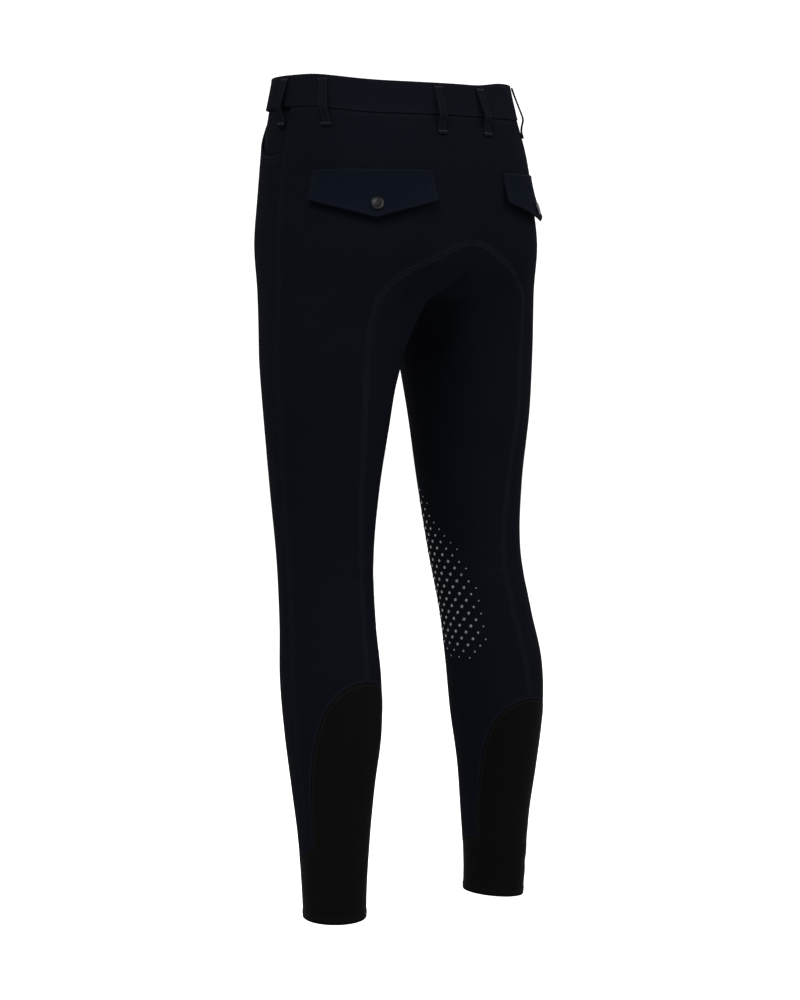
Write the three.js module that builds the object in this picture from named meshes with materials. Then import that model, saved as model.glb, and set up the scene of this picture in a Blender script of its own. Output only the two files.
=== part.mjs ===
// Men's riding breeches, standing open and hollow as a general figure wears them.
// Millimetres, +Z up. The front looks along -Y and the wearer's left is +X.
// The origin is the middle of the waist opening, half way up the waistband at the sides.
import * as THREE from "three";

// Cloth and seams
const CLOTH = 1.8;            // wall of every panel
const SEAM = 0.15;            // each edge keeps this far from its seam line
const REST = 0.3;             // clearance of a piece that lies on another
const TRIM = 1.5;             // flaps, fly placket and pocket facings
const FACING_DEPTH = 2.9;      // the pocket facing lies this far under the front's outer face

// The pelvis as ovals at a few heights: front and back have their own depth
const HIP = table(["z", "halfWidth", "frontDepth", "backDepth", "centreY", "backPower"], [
  [40, 137.5, 96, 105.5, 0.5, 1.93],
  [20, 139.5, 97.5, 108.5, 0.5, 1.93],
  [-20, 148.5, 104, 116.5, 1, 2],
  [-60, 155.5, 106, 125, 1.5, 2.22],
  [-100, 158.5, 105, 129.5, 2.5, 2.3],
  [-140, 160.5, 103, 130.5, 4, 2.3],
  [-180, 165, 102, 130, 6, 2.3],
  [-220, 170, 102, 128, 8, 2.3],
  [-280, 172, 102, 124, 8, 2.3],
]);
// The left leg as ovals, thigh to ankle
const LEG = table(["z", "centreX", "centreY", "halfWidth", "halfDepth"], [
  [40, 66, 2, 62, 84],
  [-100, 80, 5, 74, 98],
  [-160, 87, 8, 80.5, 100],
  [-220, 95, 11, 81, 93],
  [-265, 103.5, 12.3, 77.5, 83.5],
  [-300, 105.5, 12.5, 76.5, 79.8],
  [-360, 109.2, 13.5, 68.5, 75],
  [-440, 112, 12.5, 59.5, 64.5],
  [-520, 115.5, 17, 53, 56.5],
  [-590, 122, 29, 53, 55.5],
  [-650, 126.5, 39, 55.5, 58.5],
  [-710, 127, 43.5, 52.5, 57],
  [-770, 127.5, 44, 45, 49.5],
  [-830, 125.5, 43, 38.5, 43],
  [-890, 125, 43, 35, 38.5],
  [-950, 122.5, 41.5, 34, 37],
]);
const FRONT_POWER = 2.3;      // the pelvis is a little squarer than an ellipse, but not at the back of the waist
const BLEND = 12;             // how softly the pelvis runs into the legs
const BOWL_TOP = -132;        // from here down the pelvis closes between the legs
const BOWL_HEIGHT = 89;
const BOWL_POWER = 3;         // full low down, then quickly closed
const CROTCH_Y = 12;

// Waistband: it dips at the back
const BAND_TOP = 20;
const BAND_BOTTOM = -16;
const BAND_DIP = 9;
const DIP_FROM_Y = 20;
const DIP_TO_Y = 105;
const BAND_OUTER = 1;         // the band stands this far proud of the panels
const BAND_CLEAR = 0.5;       // the curved lower edge keeps this clear of the panels' straight runs
const LAP_END = 22;           // the ends of the band pass the middle of the front by this much
const LAP_RAMP = 26;

// Seams of a leg, as an angle round the leg's own axis: 0 back, 90 outside, 180 front, 270 inside
const SIDE_SEAM = 90;
const SEAT_APEX = -165;       // where the arched seat seam crosses the middle of the back
const SEAT_SEAM = table(["z", "angle"], [
  [-175, -23.5], [-189, -11.5], [-203, -0.5], [-215, 5.5], [-232, 9.5], [-262, 9.5], [-294, 9],
  [-352, 7], [-442, 1], [-523, -5.5], [-590, -6], [-640, -3.5], [-692, 0],
]);
// Pocket mouth from the side seam forward and up to the waistband
const SCOOP = table(["angle", "z"], [[90, -65], [105, -69], [124, -65], [140, -51], [152, -32], [158, -16]]);
const FACING = table(["angle", "z"], [[84, -80], [108, -84], [130, -79], [150, -60], [168, -34]]);

// Calf panels, one for each leg because the photograph shows them at two heights
const CALF = {
  left: { domeTop: -650, cuffSide: -834, cuffFront: -852, hem: -919 },
  right: { domeTop: -692, cuffSide: -856, cuffFront: -862, hem: -925 },
};
const DOME_ANGLE = 76;
const DOME_WIDE_POWER = 2.4;
const DOME_TALL_POWER = 2.2;
const HEM_TILT_OUT = 0.06;
const HEM_TILT_BACK = 0.04;

// Back pocket flaps, fly, snaps and belt loops
const FLAP = { inner: -10, tip: 19.5, outer: 62, top: -86, side: -120, point: -139.5, lift: 3.2 };
const SNAP = { radius: 7.5, height: 2.4, angle: 19.5, z: -124.5 };
const FLY = { right: -6, left: 36, top: -17.5, bend: -118, bottom: -165 };
const LOOP = { width: 11, thick: 1.9, top: 17, bottom: -37 };
// Belt loops: the left and right one's angle round the waist (0 the left side, 90 the back), how many
// degrees the foot leans to the back, and how far the loop arches out
const LOOPS = {
  front: { left: -52, right: 232, lean: 0, arch: 5.4 },
  side: { left: -5, right: 185, lean: 2, arch: 6.2 },
  hip: { left: 16.5, right: 147, lean: 4, arch: 4.6 },
  back: { left: 74, right: 106, lean: 0, arch: 5 },
};

// How finely each piece is divided
const ROWS_TOP = 5;
const ROWS_SEAT = 7;
const ROWS_GUSSET = 5;
const ROWS_LEG = 19;
const COLUMNS_OUTER = 14;
const COLUMNS_DOME = 7;

const NAVY = new THREE.MeshStandardMaterial({ color: 0x10131a, roughness: 0.92, metalness: 0 });
const ELASTIC = new THREE.MeshStandardMaterial({ color: 0x0e0e0e, roughness: 0.85, metalness: 0 });
const METAL = new THREE.MeshStandardMaterial({ color: 0x2d2d30, roughness: 0.4, metalness: 0.8 });

function table(names, rows) {
  return rows.map((row) => Object.fromEntries(names.map((name, k) => [name, row[k]])));
}

// Smooth value of one column at a height (or angle) between the rows of a table
const sorted = new Map();
function read(rows, key, name, at) {
  if (!sorted.has(rows)) sorted.set(rows, [...rows].sort((a, b) => a[key] - b[key]));
  const list = sorted.get(rows);
  const last = list.length - 1;
  let k = 0;
  while (k < last - 1 && list[k + 1][key] < at) k += 1;
  const slope = (i) => {
    const a = list[Math.max(i - 1, 0)];
    const b = list[Math.min(i + 1, last)];
    return (b[name] - a[name]) / (b[key] - a[key]);
  };
  const step = list[k + 1][key] - list[k][key];
  const u = Math.min(Math.max((at - list[k][key]) / step, 0), 1);
  const rise = u * u * (3 - 2 * u);
  return list[k][name] * (1 - rise) + list[k + 1][name] * rise
    + slope(k) * step * u * (1 - u) * (1 - u) - slope(k + 1) * step * u * u * (1 - u);
}

const sectionCache = new Map();
function sections(z) {
  const key = Math.round(z * 1e6);
  if (!sectionCache.has(key)) {
    const pick = (rows, name) => read(rows, "z", name, z);
    sectionCache.set(key, {
      a: pick(HIP, "halfWidth"), front: pick(HIP, "frontDepth"), back: pick(HIP, "backDepth"),
      yc: pick(HIP, "centreY"), backPower: pick(HIP, "backPower"),
      cx: pick(LEG, "centreX"), cy: pick(LEG, "centreY"), ha: pick(LEG, "halfWidth"), hb: pick(LEG, "halfDepth"),
    });
  }
  return sectionCache.get(key);
}

// Below zero inside the figure and above zero outside, in about millimetres near the cloth
function field(x, y, z) {
  const s = sections(z);
  const [depth, power] = y < s.yc ? [s.front, FRONT_POWER] : [s.back, s.backPower];
  const oval = (Math.abs(x / s.a) ** power + Math.abs((y - s.yc) / depth) ** power) ** (1 / power);
  const down = Math.max(0, BOWL_TOP - z) / BOWL_HEIGHT;
  const parts = [110 * ((oval ** BOWL_POWER + down ** BOWL_POWER) ** (1 / BOWL_POWER) - 1)];
  for (const side of [1, -1]) {
    const across = Math.hypot((side * x - s.cx) / s.ha, (y - s.cy) / s.hb);
    parts.push(Math.sqrt(s.ha * s.hb) * (across - 1));
  }
  const least = Math.min(...parts);
  return least - BLEND * Math.log(parts.reduce((sum, part) => sum + Math.exp((least - part) / BLEND), 0));
}

function normalAt(x, y, z) {
  const h = 0.5;
  return new THREE.Vector3(
    field(x + h, y, z) - field(x - h, y, z),
    field(x, y + h, z) - field(x, y - h, z),
    field(x, y, z + h) - field(x, y, z - h),
  ).normalize();
}

// The cloth met by a level ray from a point inside
function cast(x, y, z, dx, dy, reach) {
  let near = 0;
  let far = reach;
  for (let k = 0; k < 40; k += 1) {
    const middle = (near + far) / 2;
    if (field(x + dx * middle, y + dy * middle, z) < 0) near = middle;
    else far = middle;
  }
  const point = new THREE.Vector3(x + dx * near, y + dy * near, z);
  return { point, normal: normalAt(point.x, point.y, z), reach: near };
}

const radians = THREE.MathUtils.degToRad;
const degrees = THREE.MathUtils.radToDeg;

function onLeg(angle, z) {
  const s = sections(z);
  const dx = Math.sin(radians(angle));
  const dy = Math.cos(radians(angle));
  const limit = dx < -1e-6 ? Math.min(260, (s.cx - SEAM) / -dx) : 260;
  return cast(s.cx, s.cy, z, dx, dy, limit);
}

function onMiddle(side, z, x = SEAM) {
  return cast(x, CROTCH_Y, z, 0, side, 180);
}

function onWaist(angle, z) {
  const s = sections(z);
  return cast(0, s.yc, z, Math.cos(radians(angle)), Math.sin(radians(angle)), 220);
}

function middleAngle(side, z) {
  const s = sections(z);
  const p = onMiddle(side, z).point;
  const angle = degrees(Math.atan2(p.x - s.cx, p.y - s.cy));
  return angle < 0 ? angle + 360 : angle;
}

function crotchHeight() {
  let high = -190;
  let low = -260;
  for (let k = 0; k < 40; k += 1) {
    const z = (high + low) / 2;
    if (field(SEAM, CROTCH_Y, z) < 0) high = z;
    else low = z;
  }
  return high;
}
const CROTCH = crotchHeight();

function smooth(u) {
  const t = Math.min(Math.max(u, 0), 1);
  return t * t * (3 - 2 * t);
}

function dip(y) {
  return BAND_DIP * smooth((y - DIP_FROM_Y) / (DIP_TO_Y - DIP_FROM_Y));
}

const mix = (a, b, t) => a + (b - a) * t;
const steps = (count) => Array.from({ length: count + 1 }, (_, k) => k / count);

// Points of a seam are {angle, z}; those on the middle plane also say which side they are on
const seamPoint = (angle, z, middle = 0) => ({ angle, z, middle });

function place(node) {
  return node.middle ? onMiddle(node.middle, node.z) : onLeg(node.angle, node.z);
}

function waistSeam(from, to, count) {
  return steps(count).map((t) => {
    const angle = mix(from, to, t);
    return seamPoint(angle, BAND_BOTTOM - dip(onLeg(angle, BAND_BOTTOM).point.y));
  });
}

function middleSeam(side, from, to, count, gather) {
  return steps(count).map((t) => {
    const z = mix(to, from, (1 - t) ** gather);
    return seamPoint(z <= CROTCH + 1e-6 ? 270 : middleAngle(side, z), z, side);
  });
}

function seatSeam(z) {
  const apexAngle = middleAngle(1, SEAT_APEX) - 360;
  const rows = [{ z: SEAT_APEX, angle: apexAngle }, ...SEAT_SEAM];
  let k = 0;
  while (k < rows.length - 2 && rows[k + 1].z > z) k += 1;
  const first = (rows[k].z - z) / (rows[k].z - rows[k + 1].z);
  if (k === 0) return mix(rows[0].angle, rows[1].angle, Math.min(first ** 0.55, 1));
  return read(SEAT_SEAM, "z", "angle", z);
}

// The arched part of the seat seam, closest together at its top
function seatArch() {
  return steps(ROWS_GUSSET).map((t) => {
    const z = mix(SEAT_APEX, CROTCH, t ** 1.6);
    return seamPoint(seatSeam(z), z);
  });
}

const LEG_STEPS = steps(ROWS_LEG).map((t) => t ** 1.22);
const SEAT_GATHER = 1.7;

function cuffHeight(calf, angle) {
  const turn = Math.min(Math.abs(angle), Math.abs(360 - angle));
  return mix(calf.cuffSide, calf.cuffFront, smooth((turn - DOME_ANGLE) / 45));
}

// Half of the dome's edge, from its foot to the middle of the back
function domeEdge(calf, sign) {
  return steps(COLUMNS_DOME).map((t) => {
    const turn = radians(90 * t);
    const angle = DOME_ANGLE * Math.max(Math.cos(turn), 0) ** (2 / DOME_WIDE_POWER);
    const rise = Math.sin(turn) ** (2 / DOME_TALL_POWER);
    return seamPoint(sign * (t === 1 ? 0 : angle), mix(calf.cuffSide, calf.domeTop, rise));
  });
}

function sideSeam(from, to, marks) {
  return marks.map((t) => seamPoint(SIDE_SEAM, mix(from, to, t)));
}

// Moves the nodes of a closed edge inward by the seam's half gap
function inset(loop) {
  const count = loop.length;
  let area = 0;
  loop.forEach((node, k) => {
    const next = loop[(k + 1) % count];
    area += node.angle * next.z - next.angle * node.z;
  });
  const inward = Math.sign(area);
  const shifts = loop.map((node, k) => {
    const radius = radians(place(node).reach || 1);
    const edge = (from, to) => {
      const along = (to.angle - from.angle) * radius;
      const up = to.z - from.z;
      const length = Math.hypot(along, up);
      return { x: (-up / length) * inward, z: (along / length) * inward };
    };
    const before = loop[(k + count - 1) % count];
    const after = loop[(k + 1) % count];
    const one = edge(before, node);
    const two = edge(node, after);
    if (node.middle) {
      const free = before.middle ? (after.middle ? null : two) : one;
      return { angle: 0, z: free ? Math.sign(free.z) * SEAM : 0 };
    }
    const spread = Math.max(1 + one.x * two.x + one.z * two.z, 0.35);
    return { angle: (SEAM * (one.x + two.x)) / spread / radius, z: (SEAM * (one.z + two.z)) / spread };
  });
  loop.forEach((node, k) => {
    node.angle += shifts[k].angle;
    node.z += shifts[k].z;
  });
}

// Fills a four-sided field of cloth between its edges
function patch(sheet, top, bottom, left, right) {
  const rows = left.length - 1;
  const columns = top.length - 1;
  const blend = (name, i, j) => {
    const v = i / rows;
    const u = j / columns;
    return (1 - v) * top[j][name] + v * bottom[j][name] + (1 - u) * left[i][name] + u * right[i][name]
      - (1 - u) * ((1 - v) * left[0][name] + v * left[rows][name])
      - u * ((1 - v) * right[0][name] + v * right[rows][name]);
  };
  const at = (i, j) => {
    if (i === 0) return place(top[j]);
    if (i === rows) return place(bottom[j]);
    if (j === 0) return place(left[i]);
    if (j === columns) return place(right[i]);
    return onLeg(blend("angle", i, j), blend("z", i, j));
  };
  grid(sheet, rows, columns, at);
}

function grid(sheet, rows, columns, at) {
  const ids = steps(rows).map((_, i) => steps(columns).map((__, j) => sheet.add(at(i, j))));
  for (let i = 0; i < rows; i += 1) {
    for (let j = 0; j < columns; j += 1) {
      sheet.face(ids[i][j], ids[i + 1][j], ids[i + 1][j + 1]);
      sheet.face(ids[i][j], ids[i + 1][j + 1], ids[i][j + 1]);
    }
  }
}

// A sheet of cloth: shared points with their normals, and triangles
class Sheet {
  points = [];
  faces = [];
  known = new Map();

  add({ point, normal, lift = 0 }) {
    const key = point.toArray().map((v) => Math.round(v * 500)).join();
    if (!this.known.has(key)) {
      this.known.set(key, this.points.length);
      this.points.push({ point, normal, lift });
    }
    return this.known.get(key);
  }

  face(a, b, c) {
    if (a !== b && b !== c && a !== c) this.faces.push([a, b, c]);
  }

  // A closed wall between two offsets from the sheet
  wall(inner, outer, oneSide = false) {
    const count = this.points.length;
    const corners = [];
    for (const offset of [outer, inner]) {
      for (const { point, normal, lift } of this.points) {
        const corner = point.clone().addScaledVector(normal, offset + lift);
        if (oneSide) corner.x = Math.max(corner.x, SEAM);
        corners.push(corner);
      }
    }
    const edges = new Map();
    const faces = [];
    for (const [a, b, c] of this.faces) {
      faces.push([a, b, c], [c + count, b + count, a + count]);
      for (const [p, q] of [[a, b], [b, c], [c, a]]) {
        if (edges.has(`${q},${p}`)) edges.delete(`${q},${p}`);
        else edges.set(`${p},${q}`, [p, q]);
      }
    }
    for (const [p, q] of edges.values()) {
      faces.push([q, p, p + count], [q, p + count, q + count]);
    }
    return solid(corners, faces);
  }
}

// Indexed geometry whose faces look outward
function solid(corners, faces) {
  let volume = 0;
  for (const [a, b, c] of faces) {
    volume += corners[a].dot(corners[b].clone().cross(corners[c]));
  }
  const order = volume < 0 ? faces.map(([a, b, c]) => [a, c, b]) : faces;
  const geometry = new THREE.BufferGeometry();
  geometry.setAttribute("position", new THREE.Float32BufferAttribute(corners.flatMap((v) => v.toArray()), 3));
  geometry.setIndex(order.flat());
  return geometry;
}

function mirrored(geometry) {
  const copy = geometry.clone().scale(-1, 1, 1);
  const index = copy.getIndex().array;
  for (let k = 0; k < index.length; k += 3) {
    [index[k + 1], index[k + 2]] = [index[k + 2], index[k + 1]];
  }
  return copy;
}

// Front panel: from the side seam over the front and the inside of the leg to the seam at its back
function frontPanel(calf) {
  const scoopTop = waistSeam(SCOOP.at(-1).angle, SCOOP.at(-1).angle, 1)[0];
  const scoop = steps(ROWS_TOP).map((t) => {
    const at = mix(SCOOP.length - 1, 0, t);
    const k = Math.min(Math.floor(at), SCOOP.length - 2);
    return seamPoint(mix(SCOOP[k].angle, SCOOP[k + 1].angle, at - k), mix(SCOOP[k].z, SCOOP[k + 1].z, at - k));
  });
  scoop[0] = scoopTop;
  const seatMarks = steps(ROWS_SEAT).map((t) => 1 - (1 - t) ** SEAT_GATHER);
  const hip = sideSeam(SCOOP[0].z, CROTCH, seatMarks);
  hip[0] = scoop.at(-1);
  const waist = waistSeam(scoopTop.angle, middleAngle(-1, BAND_BOTTOM), COLUMNS_OUTER);
  const front = middleSeam(-1, BAND_BOTTOM, CROTCH, ROWS_TOP + ROWS_SEAT, SEAT_GATHER);
  waist[0] = scoopTop;
  waist[COLUMNS_OUTER] = front[0];
  const crotch = front.at(-1);
  const gusset = middleSeam(1, SEAT_APEX, CROTCH, ROWS_GUSSET, SEAT_GATHER);
  gusset[ROWS_GUSSET] = crotch;
  const seat = seatArch().map((node) => seamPoint(360 + node.angle, node.z));
  seat[0] = gusset[0];
  const dome = domeEdge(calf, -1).map((node) => seamPoint(360 + node.angle, node.z));
  const side = sideSeam(CROTCH, cuffHeight(calf, SIDE_SEAM), LEG_STEPS);
  side[0] = hip.at(-1);
  const cuff = steps(COLUMNS_OUTER).map((t) => {
    const angle = mix(SIDE_SEAM, 360 - DOME_ANGLE, t);
    return seamPoint(angle, cuffHeight(calf, angle));
  });
  cuff[0] = side.at(-1);
  cuff[COLUMNS_OUTER] = dome[0];
  const back = LEG_STEPS.map((t) => {
    const z = mix(CROTCH, calf.domeTop, t);
    return seamPoint(360 + seatSeam(z), z);
  });
  back[0] = seat.at(-1);
  back[ROWS_LEG] = dome.at(-1);

  inset([
    ...waist, ...front.slice(1), ...gusset.slice(0, -1).reverse(), ...seat.slice(1), ...back.slice(1),
    ...dome.slice(0, -1).reverse(), ...cuff.slice(0, -1).reverse(), ...side.slice(0, -1).reverse(),
    ...hip.slice(0, -1).reverse(), ...scoop.slice(1, -1).reverse(),
  ]);

  const outerLine = steps(COLUMNS_OUTER).map((t) => seamPoint(mix(side[0].angle, 270, t), CROTCH));
  outerLine[0] = side[0];
  outerLine[COLUMNS_OUTER] = crotch;
  const innerLine = steps(COLUMNS_DOME).map((t) => seamPoint(mix(270, seat.at(-1).angle, t), CROTCH));
  innerLine[0] = crotch;
  innerLine[COLUMNS_DOME] = seat.at(-1);
  const sheet = new Sheet();
  patch(sheet, waist, outerLine, [...scoop, ...hip.slice(1)], front);
  patch(sheet, [...outerLine, ...innerLine.slice(1)], [...cuff, ...dome.slice(1)], side, back);
  patch(sheet, innerLine.map(() => gusset[0]), innerLine, gusset, seat);
  return sheet.wall(-CLOTH, 0, true);
}

// Back panel: seat, back pocket and outside of the leg down to the calf
function backPanel(calf) {
  const marks = steps(ROWS_SEAT).map((t) => 1 - (1 - t) ** SEAT_GATHER);
  const waist = waistSeam(SIDE_SEAM, middleAngle(1, BAND_BOTTOM - BAND_DIP) - 360, COLUMNS_DOME + 1);
  const side = [
    ...sideSeam(waist[0].z, SCOOP[0].z, steps(ROWS_TOP)),
    ...sideSeam(SCOOP[0].z, CROTCH, marks).slice(1),
    ...sideSeam(CROTCH, cuffHeight(calf, SIDE_SEAM), LEG_STEPS).slice(1),
  ];
  side[0] = waist[0];
  const centre = steps(ROWS_TOP + ROWS_SEAT - ROWS_GUSSET).map((t) => {
    const z = mix(BAND_BOTTOM - BAND_DIP, SEAT_APEX, t);
    return seamPoint(middleAngle(1, z) - 360, z, 1);
  });
  waist[COLUMNS_DOME + 1] = centre[0];
  const seat = seatArch().slice(1);
  const back = LEG_STEPS.slice(1).map((t) => {
    const z = mix(CROTCH, calf.domeTop, t);
    return seamPoint(seatSeam(z), z);
  });
  const inner = [...centre, ...seat, ...back];
  const dome = domeEdge(calf, 1);
  const cuff = [side.at(-1), ...dome];
  inner[inner.length - 1] = dome.at(-1);
  inset([...waist, ...inner.slice(1), ...dome.slice(0, -1).reverse(), ...side.slice(1).reverse()]);
  const sheet = new Sheet();
  patch(sheet, waist, cuff, side, inner);
  return sheet.wall(-CLOTH, 0, true);
}

// Calf panel: a cuff all round with a dome that rises up the back
function calfPanel(calf) {
  const climb = domeEdge(calf, -1);
  const fall = domeEdge(calf, 1).slice(0, -1).reverse();
  const dome = [...climb, ...fall];
  const angles = [...steps(COLUMNS_OUTER).map((t) => mix(360 - DOME_ANGLE, SIDE_SEAM, t)).reverse()];
  const cuff = angles.slice(0, -1).map((angle) => seamPoint(angle, cuffHeight(calf, angle)));
  inset([...dome, ...cuff]);
  const foot = dome[0];
  const far = dome.at(-1);
  const base = dome.map((node) => seamPoint(node.angle, mix(foot.z, far.z, (node.angle - foot.angle) / (far.angle - foot.angle))));
  base[0] = foot;
  base[base.length - 1] = far;
  const round = [...base, ...cuff, seamPoint(foot.angle + 360, foot.z)];
  const hemHeight = (angle) => {
    const s = sections(calf.hem);
    const p = onLeg(angle, calf.hem).point;
    return calf.hem - HEM_TILT_OUT * (p.x - s.cx) - HEM_TILT_BACK * (p.y - s.cy);
  };
  const sheet = new Sheet();
  const domeRows = 7;
  grid(sheet, domeRows, dome.length - 1, (i, j) => {
    const t = i / domeRows;
    return onLeg(mix(dome[j].angle, base[j].angle, t), mix(dome[j].z, base[j].z, t));
  });
  const cuffRows = 3;
  grid(sheet, cuffRows, round.length - 1, (i, j) => {
    const angle = round[j % (round.length - 1)].angle;
    return onLeg(angle, mix(round[j].z, hemHeight(angle), i / cuffRows));
  });
  return sheet.wall(-CLOTH, 0);
}

// Waistband: one strip whose left end laps over its right end at the front
function waistband() {
  const stations = [];
  const frontY = onMiddle(-1, 0, 0).point.y;
  const overhang = degrees(Math.atan(LAP_END / -frontY));
  const ramp = degrees(Math.atan(LAP_RAMP / -frontY));
  const turns = 60;
  for (const t of steps(turns)) {
    const angle = mix(-90 - overhang, 270 + overhang, t);
    const past = (angle - (-90 + overhang)) / ramp;
    stations.push({ angle, lift: (BAND_OUTER + CLOTH + REST) * (1 - smooth(past)) });
  }
  const levels = 3;
  const sheet = new Sheet();
  grid(sheet, stations.length - 1, levels, (i, j) => {
    const { angle, lift } = stations[i];
    const z = mix(BAND_TOP, BAND_BOTTOM, j / levels);
    const clear = j === levels ? BAND_CLEAR : 0;
    const spot = onWaist(angle, z - dip(onWaist(angle, z).point.y) + clear);
    return { point: spot.point.addScaledVector(spot.normal, lift), normal: spot.normal };
  });
  return sheet.wall(-CLOTH, BAND_OUTER);
}

// Fly placket: lies on both fronts, its curved edge is the stitched one
function flyPlacket() {
  const rows = 12;
  const columns = 5;
  const sheet = new Sheet();
  grid(sheet, rows, columns, (i, j) => {
    const z = mix(FLY.top, FLY.bottom, i / rows);
    const turn = Math.min(Math.max((FLY.bend - z) / (FLY.bend - FLY.bottom), 0), 1);
    const left = mix(FLY.right + 5, FLY.left, Math.sqrt(1 - turn * turn));
    return onMiddle(-1, z, mix(left, FLY.right, j / columns));
  });
  return sheet.wall(REST, REST + TRIM);
}

// Facing behind the mouth of the front pocket
function pocketFacing() {
  const rows = 4;
  const columns = 11;
  const sheet = new Sheet();
  grid(sheet, rows, columns, (i, j) => {
    const angle = mix(FACING[0].angle, FACING.at(-1).angle, j / columns);
    const bottom = read(FACING, "angle", "z", angle);
    return onLeg(angle, mix(BAND_BOTTOM + 4, bottom, i / rows));
  });
  return sheet.wall(-FACING_DEPTH - TRIM, -FACING_DEPTH);
}

// Pointed flap of the back pocket, its lower edge stands off the seat
function flapSpot(across, down) {
  const inward = across < 0.5;
  const angle = inward ? mix(FLAP.inner, FLAP.tip, across * 2) : mix(FLAP.tip, FLAP.outer, across * 2 - 1);
  const low = mix(FLAP.point, FLAP.side, Math.abs(across * 2 - 1));
  const spot = onLeg(angle, mix(FLAP.top, low, down));
  return { ...spot, lift: REST + FLAP.lift * down * down };
}

function pocketFlap() {
  const sheet = new Sheet();
  grid(sheet, 5, 12, (i, j) => flapSpot(j / 12, i / 5));
  return sheet.wall(0, TRIM);
}

// Plain press-stud cap on a spot, looking along a direction
function snapCap(spot, direction) {
  const { radius, height } = SNAP;
  const profile = [[0, 0], [radius - 0.6, 0], [radius, 0.7], [radius, height - 0.9], [radius - 0.9, height - 0.2],
    [radius - 2, height], [radius - 3, height - 0.3], [0, height - 0.1]];
  const round = 24;
  const corners = [new THREE.Vector3(0, 0, profile[0][1]), new THREE.Vector3(0, 0, profile.at(-1)[1])];
  const faces = [];
  const rings = profile.slice(1, -1);
  rings.forEach(([r, h]) => {
    for (let k = 0; k < round; k += 1) {
      const turn = (2 * Math.PI * k) / round;
      corners.push(new THREE.Vector3(r * Math.cos(turn), r * Math.sin(turn), h));
    }
  });
  for (let k = 0; k < round; k += 1) {
    const next = (k + 1) % round;
    faces.push([0, 2 + next, 2 + k]);
    rings.slice(1).forEach((_, ring) => {
      const low = 2 + ring * round;
      const high = low + round;
      faces.push([low + k, low + next, high + next], [low + k, high + next, high + k]);
    });
    const last = 2 + (rings.length - 1) * round;
    faces.push([1, last + k, last + next]);
  }
  const turn = new THREE.Quaternion().setFromUnitVectors(new THREE.Vector3(0, 0, 1), direction);
  return solid(corners.map((corner) => corner.applyQuaternion(turn).add(spot)), faces);
}

function flapSnap() {
  const down = (FLAP.top - SNAP.z) / (FLAP.top - FLAP.point);
  const outside = (across, low) => {
    const { point, normal, lift } = flapSpot(across, low);
    return point.clone().addScaledVector(normal, lift + TRIM);
  };
  const small = 0.02;
  const along = outside(0.5 + small, down).sub(outside(0.5 - small, down));
  const drop = outside(0.5, down + small).sub(outside(0.5, down - small));
  const normal = along.cross(drop).normalize();
  if (normal.y < 0) normal.negate();
  return snapCap(outside(0.5, down).addScaledVector(normal, REST), normal);
}

function waistSnap() {
  const spot = onMiddle(-1, 2, 0);
  const stand = BAND_OUTER + (BAND_OUTER + CLOTH + REST) + REST;
  return snapCap(spot.point.addScaledVector(spot.normal, stand), spot.normal);
}

// Belt loop: a strip sewn below the band and at its top, standing off most at the band's lower seam
function beltLoop(angle, lean, arch) {
  const count = 12;
  const sink = dip(onWaist(angle, BAND_BOTTOM).point.y);
  const corners = [];
  const faces = [];
  steps(count).forEach((t, k) => {
    const z = mix(LOOP.bottom, LOOP.top, t) - sink;
    const spot = onWaist(angle + lean * (1 - t), z);
    const overBand = (BAND_OUTER + 0.1) * smooth((t - 0.2) / 0.15);
    const inner = REST + overBand + arch * smooth((t - 0.08) / 0.3) * Math.min(1, Math.max(0, (0.97 - t) / 0.55));
    const outer = inner + LOOP.thick;
    const sideways = new THREE.Vector3(0, 0, 1).cross(spot.normal).normalize();
    for (const [side, offset] of [[-1, inner], [1, inner], [1, outer], [-1, outer]]) {
      corners.push(spot.point.clone().addScaledVector(spot.normal, offset).addScaledVector(sideways, (side * LOOP.width) / 2));
    }
    if (k > 0) {
      const a = 4 * (k - 1);
      const b = 4 * k;
      for (let e = 0; e < 4; e += 1) {
        const n = (e + 1) % 4;
        faces.push([a + e, a + n, b + n], [a + e, b + n, b + e]);
      }
    }
  });
  const end = 4 * count;
  faces.push([0, 2, 1], [0, 3, 2], [end, end + 1, end + 2], [end, end + 2, end + 3]);
  return solid(corners, faces);
}

const breeches = new THREE.Group();
breeches.name = "riding_breeches";

function addPiece(name, geometry, material) {
  geometry.computeVertexNormals();
  const mesh = new THREE.Mesh(geometry, material);
  mesh.name = name;
  breeches.add(mesh);
}

function addPair(name, geometry, material) {
  addPiece(`${name}_left`, geometry, material);
  addPiece(`${name}_right`, mirrored(geometry), material);
}

addPiece("front_left", frontPanel(CALF.left), NAVY);
addPiece("front_right", mirrored(frontPanel(CALF.right)), NAVY);
addPiece("back_left", backPanel(CALF.left), NAVY);
addPiece("back_right", mirrored(backPanel(CALF.right)), NAVY);
addPiece("calf_left", calfPanel(CALF.left), ELASTIC);
addPiece("calf_right", mirrored(calfPanel(CALF.right)), ELASTIC);
addPiece("waistband", waistband(), NAVY);
addPiece("fly_placket", flyPlacket(), NAVY);
addPair("pocket_facing", pocketFacing(), NAVY);
addPair("pocket_flap", pocketFlap(), NAVY);
addPair("flap_snap", flapSnap(), METAL);
addPiece("waist_snap", waistSnap(), METAL);
for (const [name, { left, right, lean, arch }] of Object.entries(LOOPS)) {
  addPiece(`belt_loop_${name}_left`, beltLoop(left, lean, arch), NAVY);
  addPiece(`belt_loop_${name}_right`, mirrored(beltLoop(180 - right, lean, arch)), NAVY);
}

export default breeches;
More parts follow.
